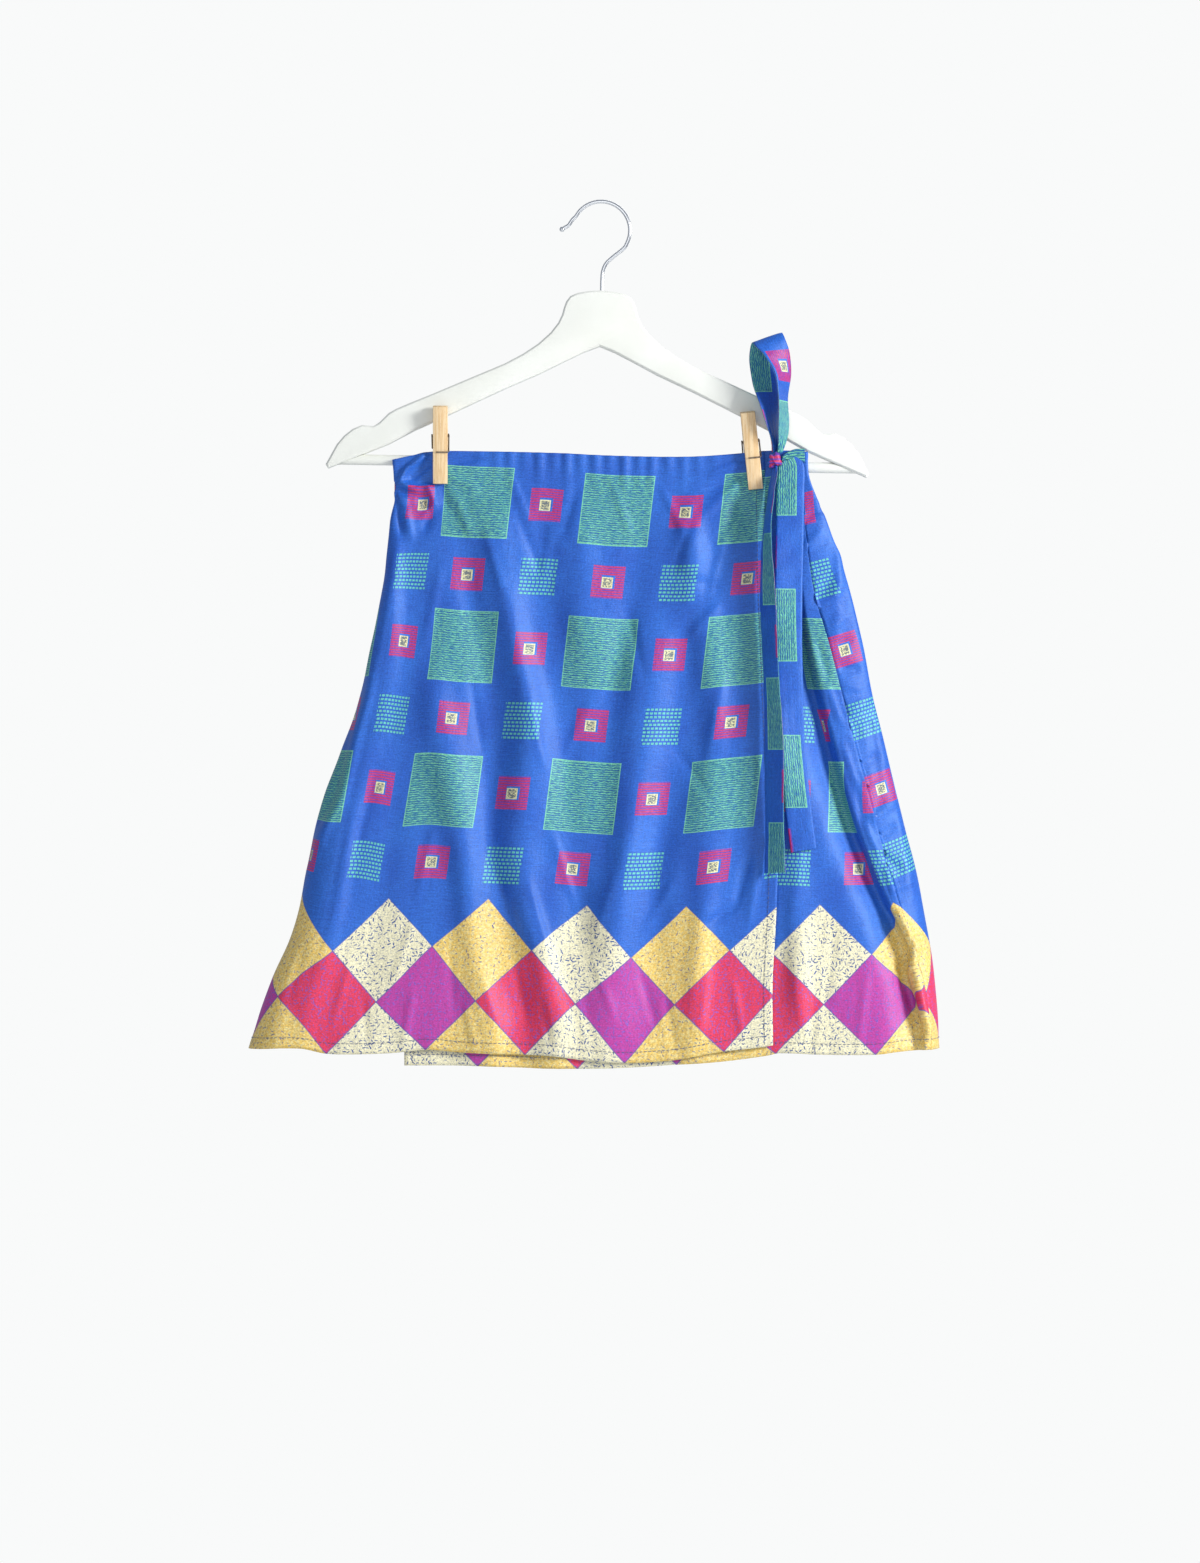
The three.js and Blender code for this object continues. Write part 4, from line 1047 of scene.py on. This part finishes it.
def make_outer(outside, inside):
    points, cloth_x = outer_panel()
    squares, border = outer_print(points, cloth_x)
    drop = drops_of(points)
    pucker = hem_pucker(points[..., 0], height_over(HEM_OUTER, points), 0.7)
    detail = front_detail(points, 1.5) + pucker
    to_edge = level("edge", drop) - points[..., 0]
    detail = detail + 0.3 * np.sin(drop / 6.1 + np.sin(drop / 19)) * bell(to_edge, 8)
    points = moved_out(points, detail)
    from_edge = points[..., 0] - track(LEFT_EDGE, drop)
    standing = ease(140, 200, drop) * (1 - ease(290, 350, drop))
    sunk = 6.5 * ease(0.5, -4, from_edge) * bell(from_edge + 5, 9)
    points[..., 1] += standing * (sunk - 2.4 * bell(from_edge - 3, 4))
    thick = panel_thickness(points, HEM_OUTER, [to_edge])
    return cloth_shell("outer_front", points, thick, squares, border, outside, inside), points


def tucked_end(points):
    """The last column, drawn on a little under the cloth that it is sewn to."""
    ahead = points[:, -1] - points[:, -4]
    ahead = ahead / np.linalg.norm(ahead, axis=1, keepdims=True)
    return points[:, -1] + ahead * SEAM_LAP - normals_of(points)[:, -1] * SILK * 0.75


def make_under(outside, inside):
    points, cloth_x = under_panel()
    squares, border = under_print(points, cloth_x)
    shown = ease(0, 20, points[..., 0] - level("edge", DROPS)[:, None])
    pucker = hem_pucker(points[..., 0], height_over(HEM_UNDER, points), 2.1)
    points = moved_out(points, front_detail(points, 0.5) + pucker * (0.5 + 0.5 * shown))
    points[:, -1] = tucked_end(points)
    thick = panel_thickness(points, HEM_UNDER, [points[..., 0] - UNDER_EDGE])
    return cloth_shell("under_front", points, thick, squares, border, outside, inside), points


def make_back(outside, inside):
    points = back_panel()
    squares, border = back_print(points)
    x = points[..., 0]
    drop = drops_of(points)
    on_front = (1 - ease(-6, 4, points[..., 1])) * ease(0, 20, x)
    above_hem = height_over(HEM_BACK, points)
    as_front = front_detail(points, 0.5) + hem_pucker(x, above_hem, 2.1)
    behind = creases(BACK_CREASES, x, drop) * CREASE_STRENGTH + ripples(x, drop, 1.9) * ease(10, 60, drop)
    behind = np.maximum(behind, -0.4 - 3 * ease(30, 70, drop))
    behind = behind + hem_pucker(row_length(points), above_hem, 4.0)
    points = moved_out(points, as_front * on_front + behind * (1 - on_front))
    thick = panel_thickness(points, HEM_BACK, [])
    thinned = thick * 0.7 * (1 - ease(0, 4, row_length(points))) * on_front
    points = moved_out(points, thinned / 2)
    thick = thick - thinned
    return cloth_shell("back_panel", points, thick, squares, border, outside, inside), points


# Stitches. The profile gives shares of a stitch's length and of its radius.
STITCH_LENGTH = 2.7
STITCH_GAP = 0.9
STITCH_RADIUS = 0.24
STITCH_SIDES = 6
STITCH_LIFT = 0.16
STITCH_CLEAR = 0.02
STITCH_PROFILE = ((0.0, 0.35), (0.16, 0.9), (0.5, 1.0), (0.84, 0.9), (1.0, 0.35))


def length_along(path):
    """The length of a path up to each of its points."""
    return np.concatenate([[0], np.cumsum(np.linalg.norm(np.diff(path, axis=0), axis=1))])


def at_length(where, length, rows):
    return np.array([np.interp(where, length, rows[:, axis]) for axis in range(3)])


def stitch_row(path, normals):
    """Vertices and faces of a run of stitches lying on a path."""
    length = length_along(path)
    angles = np.linspace(0, 2 * math.pi, STITCH_SIDES, endpoint=False)
    vertices, faces = [], []
    for start in np.arange(0, length[-1], STITCH_LENGTH + STITCH_GAP)[:-1]:
        faces += ring_faces(len(STITCH_PROFILE), STITCH_SIDES, len(vertices))
        heading = at_length(start + STITCH_LENGTH, length, path) - at_length(start, length, path)
        heading = heading / max(np.linalg.norm(heading), 1e-6)
        for share, girth in STITCH_PROFILE:
            where = start + share * STITCH_LENGTH
            out = at_length(where, length, normals)
            side = np.cross(heading, out)
            side = side / np.linalg.norm(side)
            lift = STITCH_LIFT * math.sin(math.pi * share) + STITCH_CLEAR
            centre = at_length(where, length, path) + out * lift
            for angle in angles:
                ring = side * math.cos(angle) + out * math.sin(angle)
                vertices.append(centre + ring * STITCH_RADIUS * girth)
    return vertices, faces


def seam_line(points, row, column):
    """A path over a grid through the given rows and columns, lifted to the outside of a turned edge."""
    r0 = np.clip(np.floor(row).astype(int), 0, points.shape[0] - 2)
    c0 = np.clip(np.floor(column).astype(int), 0, points.shape[1] - 2)
    fr, fc = (row - r0)[:, None], (column - c0)[:, None]

    def blend(grid):
        top = grid[r0, c0] * (1 - fc) + grid[r0, c0 + 1] * fc
        low = grid[r0 + 1, c0] * (1 - fc) + grid[r0 + 1, c0 + 1] * fc
        return top * (1 - fr) + low * fr

    facing = blend(normals_of(points))
    return blend(points) + facing * (SILK + TURN_EXTRA) / 2, facing


def place_in(values, target):
    """The place along increasing values where each row or column reaches its target."""
    return np.array([np.interp(goal, line, np.arange(len(line))) for line, goal in zip(values, target)])


def hem_stitches(points, hem):
    columns = np.arange(points.shape[1], dtype=float)
    rows = place_in(-height_over(hem, points).T, np.full(len(columns), -HEM_TURN))
    return seam_line(points, rows, columns)


def edge_stitches(points, edge_x, inward):
    rows = np.arange(2, points.shape[0], dtype=float)
    columns = place_in(points[2:, :, 0], edge_x[2:] + inward * EDGE_TURN)
    return seam_line(points, rows, columns)


def make_stitches(name, runs, material):
    vertices, faces = [], []
    for path, normals in runs:
        more, their_faces = stitch_row(path, normals)
        faces += [tuple(k + len(vertices) for k in face) for face in their_faces]
        vertices += more
    obj = new_object(name, vertices, faces)
    obj.data.materials.append(material)
    return obj


# Ties: rows of a centre and of half the width as a vector, close to the solids'. A tail's second number
# is its distance in front of the skirt.
LOOP = np.array([
    (141.4, -14.2, -200.8, 1.6, 2.4, 0), (143.4, -17.5, -192, 3.4, 6, 0), (144.8, -20, -180.3, 4.7, 9, 0),
    (144.2, -21, -158, 4.2, 10.4, 0), (144, -22, -138.7, 6.6, 9.6, 0), (139.6, -23.5, -124.3, 10, 6, 1),
    (134, -22, -114.2, 11.8, 2.5, 3), (131.4, -16, -109.6, 11.8, 1.5, 3.8),
    (129.8, -10.5, -115.5, 11.8, 2, 3), (129, -8.8, -127.5, 11.4, 3.4, 2), (130.4, -11, -145.9, 10, 6, 1),
    (133.6, -16.4, -165.9, 7, 8.6, 0), (136.4, -16.2, -183.5, 4, 7.8, 0), (137.9, -13.4, -194, 2.2, 4.4, 0),
    (137.8, -12.8, -200.6, 1.4, 2.4, 0),
])
TAIL_RIGHT = np.array([
    (148.6, 4.2, -206.4, 6.4, 0, 2.4), (150.6, 4.6, -212.6, 10.4, 0.3, 1.6), (150.2, 5.2, -232, 11, 0.6, 0),
    (149.6, 5.6, -262, 11, 0.8, 0), (148.4, 5.6, -318, 11, 0.4, 0), (148.8, 5.4, -366, 10.4, 1.2, 0),
    (151.2, 4.8, -430, 10, 1.8, 0), (155.4, 4, -480, 10.3, 1.2, 0), (160, 3.2, -518, 10.3, 0.6, 1.6),
])
TAIL_LEFT = np.array([
    (138.2, 4.6, -211.7, 1.5, -1.8, 0), (137, 8.5, -219, 2.4, -5.4, 0), (134.4, 12, -236, 2.8, -9.6, 0),
    (131, 13, -270, 3.2, -10.4, 0), (132.4, 12, -338, 5.8, -9.2, 0), (136, 11.6, -420, 6.4, -8.8, 0),
    (136.8, 11, -490, 7.2, -8.2, 0), (137, 10, -535.5, 8, -7.4, 0.6),
])
STUB = np.array([
    (161.8, -10.2, -203, 0, 0, 5.2), (154, -10.8, -203.2, 0, 0, 5.2), (147.4, -11.6, -204.4, 0.4, 0, 3.6),
    (143.8, -12.4, -205.4, 0.4, 0, 1.8),
])
KNOT_AT = (137.8, -13.8, -207.4)
KNOT_SIZE = (9.8, 9.6, 11.6)

# Where the print falls on each face of a tie: start along, scale, row middle near and far, reach across.
LOOP_INSIDE = (-154.5, 1.0, 23, 23, 12)
LOOP_OUTSIDE = (-51.5, 1.0, -3, -3, 12)
TAIL_RIGHT_FRONT = (-53.6, 0.965, 24, 21, 11)
TAIL_RIGHT_BACK = (10, 0.965, 2, 2, 11)
TAIL_LEFT_FRONT = (-121.2, 0.978, 22, 22, -11)
TAIL_LEFT_BACK = (-60, 0.978, 2, 2, -11)
STUB_PRINT = (-50, 1.0, 14, 14, 9)
TIE_THICKNESS = 1.05
TIE_HALF_WIDTH = 11
ACROSS = 15


def spline(rows, steps):
    """A smooth curve through all the rows."""
    rows = np.asarray(rows, float)
    last = len(rows) - 1
    at = np.linspace(0, last, steps)
    i = np.minimum(at.astype(int), last - 1)
    t = (at - i)[:, None]
    before = np.where((i > 0)[:, None], rows[np.maximum(i - 1, 0)], 2 * rows[0] - rows[1])
    after = np.where((i + 2 <= last)[:, None], rows[np.minimum(i + 2, last)], 2 * rows[last] - rows[last - 1])
    first, second = rows[i], rows[i + 1]
    start, end = (second - before) / 2, (after - first) / 2
    blend0 = 2 * t**3 - 3 * t**2 + 1
    blend1 = t**3 - 2 * t**2 + t
    return blend0 * first + blend1 * start + (1 - blend0) * second + (t**3 - t**2) * end


def hang(stations):
    """A tail lies in front of the skirt, so its depth is counted from the front's."""
    stations = stations.copy()
    drop = track(WAIST, stations[:, 0]) - stations[:, 2]
    stations[:, 1] = -(np.maximum(level("front", drop), STACK_OUTER) + stations[:, 1])
    return stations


def strip_print(along, share, half_width, start, scale, near_row, end_row, reach):
    """A strip is cut along the rows of squares: its length runs along u, its width along v."""
    progress = (along / along[-1])[:, None]
    middle = near_row + (end_row - near_row) * progress
    u = start + scale * along[:, None] + 0 * share[None, :]
    v = ROW_START + ROW_PITCH + middle + reach * share[None, :] * half_width[:, None] / TIE_HALF_WIDTH
    return np.stack([u, v], axis=-1)


def make_tie(name, stations, steps, near_print, far_print, ruffle, material):
    """A doubled strip: a flat closed band whose long edges are rounded, gathered near the knot."""
    path = spline(stations, steps)
    centre, wide = path[:, :3], path[:, 3:]
    along = length_along(centre)
    half_width = np.linalg.norm(wide, axis=1)
    share = np.linspace(-1, 1, ACROSS)
    points = centre[:, None] + wide[:, None] * share[None, :, None]
    narrow = clamp01(1 - half_width / TIE_HALF_WIDTH)[:, None]
    gather = narrow * 1.1 * np.cos(share[None, :] * 3.5 * math.pi)
    sway = ruffle * np.sin(along / 21)[:, None] * np.sin(share[None, :] * 1.6 + 0.4)
    wrinkle = 0.22 * np.sin(along[:, None] / 4.3 + 3 * share[None, :]) * bell(along[:, None] % 57 - 20, 16)
    points = moved_out(points, gather + sway + wrinkle)
    thick = TIE_THICKNESS * (0.55 + 0.45 * np.sqrt(np.maximum(1 - share**4, 0)))
    squares = strip_print(along, share, half_width, *near_print)
    far_squares = strip_print(along, share, half_width, *far_print)
    border = squares + FAR_FROM_BORDER
    return cloth_shell(name, points, thick, squares, border, material, material, far_squares)


def make_knot(material):
    """A small lump of pleated cloth, drawn in where the band crosses it."""
    rings, around = 34, 48
    polar = np.linspace(0.02, math.pi - 0.02, rings)[:, None]
    angle = np.linspace(0, 2 * math.pi, around, endpoint=False)[None, :]
    direction = np.stack([
        np.sin(polar) * np.cos(angle), np.sin(polar) * np.sin(angle), np.cos(polar) * np.ones_like(angle)
    ], axis=-1)
    slant = direction[..., 0] * 0.8 + direction[..., 2] * 0.6
    fan = np.arctan2(direction[..., 2] + 0.3, direction[..., 0] + 1.6)
    pleat = 0.12 * np.cos(fan * 11 + 1.5 * direction[..., 0]) + 0.09 * np.cos(slant * 8 + 1.4)
    lap = 0.15 * ease(-0.06, 0.06, slant - 0.1 - 0.5 * direction[..., 2] ** 2)
    lap = lap - 0.12 * bell(slant + 0.35, 0.16)
    corner = 0.2 * bell(direction[..., 0] + 0.85, 0.4) - 0.12 * bell(direction[..., 2] + 0.8, 0.3)
    size = (1 + pleat + lap + corner)[..., None] * np.array(KNOT_SIZE) / 2
    points = np.array(KNOT_AT) + direction * size
    obj = new_object("knot", points.reshape(-1, 3), ring_faces(rings, around))
    u = COLUMN_START + COLUMN_PITCH - 9 + 5 * direction[..., 0]
    v = ROW_START + ROW_PITCH + 10 + 4 * direction[..., 2]
    squares = np.stack([u, v], axis=-1).reshape(-1, 2)
    paint_coordinates(obj, "squares", squares)
    paint_coordinates(obj, "border", squares + FAR_FROM_BORDER)
    obj.data.materials.append(material)
    return obj


# Making the hanger and the pegs
def softened(node, name, width, segments, material):
    """The node's own form with its sharp edges rounded."""
    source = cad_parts[node]
    obj = bpy.data.objects.new(name, source.data.copy())
    bpy.context.scene.collection.objects.link(obj)
    obj.data.materials.clear()
    obj.data.materials.append(material)
    work = bmesh.new()
    work.from_mesh(obj.data)
    bmesh.ops.remove_doubles(work, verts=work.verts, dist=1e-6)
    bmesh.ops.dissolve_limit(
        work, angle_limit=math.radians(0.8), verts=work.verts, edges=work.edges, use_dissolve_boundaries=False
    )
    work.to_mesh(obj.data)
    work.free()
    bevel = obj.modifiers.new("rounding", "BEVEL")
    bevel.width = width * MM
    bevel.segments = segments
    bevel.limit_method = "ANGLE"
    bevel.angle_limit = math.radians(28)
    apply_modifiers(obj)
    obj.data.shade_smooth()
    obj.data.set_sharp_from_angle(angle=math.radians(32))
    return obj


def apply_modifiers(obj):
    bpy.context.view_layer.update()
    made = bpy.data.meshes.new_from_object(obj.evaluated_get(bpy.context.evaluated_depsgraph_get()))
    obj.modifiers.clear()
    obj.data = made


def tube(name, path, radius, sides, material, ball=0.0):
    """A round rod or wire along a path. It may have a small ball on its first end."""
    heading = np.gradient(path, axis=0)
    heading = heading / np.linalg.norm(heading, axis=1, keepdims=True)
    side = np.broadcast_to(np.array([0.0, 1.0, 0.0]), heading.shape)
    up = np.cross(heading, side)
    angles = np.linspace(0, 2 * math.pi, sides, endpoint=False)
    ring = side[:, None] * np.cos(angles)[None, :, None] + up[:, None] * np.sin(angles)[None, :, None]
    points = path[:, None] + ring * radius
    if ball:
        polar = np.linspace(0.12, math.pi * 0.78, 9)
        middle = path[0] - heading[0] * ball * np.cos(polar)[:, None]
        rings = middle[:, None] + ring[0][None] * (ball * np.sin(polar))[:, None, None]
        points = np.concatenate([rings, points[2:]])
    obj = new_object(name, points.reshape(-1, 3), ring_faces(len(points), sides, flip=True))
    obj.data.materials.append(material)
    return obj


def tilted(points):
    """Points of the hanger, turned with its slight tilt."""
    x, y, z = points[:, 0], points[:, 1], points[:, 2]
    c, s = math.cos(HANGER_TILT), math.sin(HANGER_TILT)
    return np.stack([x * c + z * s, y, z * c - x * s], axis=-1)


def make_hook(material):
    centre_x, centre_z = HOOK_MIDDLE
    turns = np.radians(np.linspace(152, -38, 16))
    bend = [(centre_x + HOOK_RADIUS * math.cos(a), centre_z + HOOK_RADIUS * math.sin(a)) for a in turns]
    path = spline([(x, 0, z) for x, z in HOOK_TIP + bend + HOOK_NECK], 240)
    return tube("hook", tilted(path), WIRE_RADIUS, 20, material, HOOK_BALL_RADIUS)


def make_bar(material):
    across = np.linspace(-BAR_REACH, BAR_REACH, 60)
    path = np.stack([across, np.zeros_like(across), np.full_like(across, BAR_HEIGHT)], axis=-1)
    return tube("bar", tilted(path), BAR_RADIUS, 48, material)


def dress(obj, slot, *nodes):
    """A piece rides on the body and stands for its nodes."""
    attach(obj, BODY)
    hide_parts(*nodes)
    return obj


def build_skirt():
    outside = silk("silk_right_side", 0.0, 0.34)
    inside = silk("silk_wrong_side", 0.42, 0.5)
    dark_thread = thread()
    outer, outer_points = make_outer(outside, inside)
    under, under_points = make_under(outside, inside)
    back, back_points = make_back(outside, inside)
    dress(outer, "printed_silk", "skirt_front_outer")
    dress(under, "printed_silk", "skirt_front_under")
    dress(back, "printed_silk", "skirt_back")
    outer_runs = [
        hem_stitches(outer_points, HEM_OUTER),
        edge_stitches(outer_points, level("edge", DROPS), -1),
    ]
    under_runs = [
        hem_stitches(under_points, HEM_UNDER),
        edge_stitches(under_points, np.full(len(DROPS), float(UNDER_EDGE)), 1),
    ]
    sewing = [
        make_stitches("outer_front_stitches", outer_runs, dark_thread),
        make_stitches("under_front_stitches", under_runs, dark_thread),
        make_stitches("back_panel_stitches", [hem_stitches(back_points, HEM_BACK)], dark_thread),
    ]
    for piece in sewing:
        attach(piece, BODY)


def build_ties():
    material = silk("tie_silk", 0.0, 0.34)
    loop = make_tie("loop", LOOP, 190, LOOP_INSIDE, LOOP_OUTSIDE, 0.3, material)
    right = make_tie("tail_right", hang(TAIL_RIGHT), 230, TAIL_RIGHT_FRONT, TAIL_RIGHT_BACK, 0.8, material)
    left = make_tie("tail_left", hang(TAIL_LEFT), 230, TAIL_LEFT_FRONT, TAIL_LEFT_BACK, 0.7, material)
    stub = make_tie("stub", STUB, 50, STUB_PRINT, STUB_PRINT, 0.2, material)
    knot = make_knot(material)
    dress(loop, "tie_silk", "tie_loop")
    dress(right, "tie_silk", "tie_tail_right")
    dress(left, "tie_silk", "tie_tail_left")
    dress(stub, "tie_silk", "tie_stub")
    dress(knot, "tie_silk", "tie_knot")


def build_hanger():
    paint = white_paint()
    dress(softened("hanger_body", "plank", 0.8, 3, paint), "white_paint", "hanger_body")
    dress(make_bar(paint), "white_paint", "hanger_bar")
    dress(make_hook(hook_chrome()), "hook_steel", "hanger_hook")


def build_pegs():
    wood = peg_wood()
    steel = spring_steel()
    for side, _, _ in PEGS:
        for half in ("front", "back"):
            node = f"peg_{side}_{half}"
            dress(softened(node, f"{node}_wood", 0.45, 2, wood), "peg_wood", node)
        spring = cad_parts[f"peg_{side}_spring"]
        spring.data.materials.clear()
        spring.data.materials.append(steel)


# Studio
CAMERA_DISTANCE = 4.0
FRAME_HEIGHT = 1.2504
FRAME_MIDDLE = (-0.0016, -0.4631)
SENSOR = 36
FLOOR_HEIGHT = -1.6
FLOOR_REACH = 3.0
SEEN_WHITE = rgb(249, 250, 250)
ROOM_LIGHT = rgb(236, 243, 255)
ROOM_STRENGTH = 0.42
LIT_MIDDLE = (0, 0, -0.42)

# Each light: its name, its place, its width and its power.
LIGHTS = [
    ("key", (2.5, -1.5, 0.45), 0.9, 100), ("fill", (-0.6, -3.3, -0.1), 2.6, 21),
    ("back_fill", (0.6, 2.6, 0.6), 2.0, 26),
]


def area_light(name, place, size, power):
    light = bpy.data.lights.new(name, "AREA")
    light.shape = "DISK"
    light.size = size
    light.energy = power
    obj = bpy.data.objects.new(name, light)
    obj.location = place
    obj.rotation_euler = (Vector(LIT_MIDDLE) - Vector(place)).to_track_quat("-Z", "Y").to_euler()
    bpy.context.scene.collection.objects.link(obj)


def studio():
    scene = bpy.context.scene
    data = bpy.data.cameras.new("camera")
    data.sensor_width = SENSOR
    data.lens = SENSOR * CAMERA_DISTANCE / FRAME_HEIGHT
    camera = bpy.data.objects.new("camera", data)
    camera.location = (FRAME_MIDDLE[0], -CAMERA_DISTANCE, FRAME_MIDDLE[1])
    camera.rotation_euler = (math.pi / 2, 0, 0)
    scene.collection.objects.link(camera)
    scene.camera = camera
    world = bpy.data.worlds.new("studio")
    world.use_nodes = True
    nodes, links = world.node_tree.nodes, world.node_tree.links
    white = nodes["Background"]
    white.inputs["Color"].default_value = SEEN_WHITE
    white.inputs["Strength"].default_value = 1.0
    dim = nodes.new("ShaderNodeBackground")
    dim.inputs["Color"].default_value = ROOM_LIGHT
    dim.inputs["Strength"].default_value = ROOM_STRENGTH
    path = nodes.new("ShaderNodeLightPath")
    choice = nodes.new("ShaderNodeMixShader")
    links.new(path.outputs["Is Camera Ray"], choice.inputs[0])
    links.new(dim.outputs[0], choice.inputs[1])
    links.new(white.outputs[0], choice.inputs[2])
    links.new(choice.outputs[0], nodes["World Output"].inputs["Surface"])
    scene.world = world
    scene.view_settings.view_transform = "Standard"
    for light in LIGHTS:
        area_light(*light)
    reach, height = FLOOR_REACH / MM, FLOOR_HEIGHT / MM
    corners = [(reach * x, reach * y, height) for x, y in ((-1, -1), (1, -1), (1, 1), (-1, 1))]
    floor = new_object("floor", corners, [(0, 1, 2, 3)], False)
    floor.data.materials.append(floor_paint())


studio()
build_skirt()
build_ties()
build_hanger()
build_pegs()
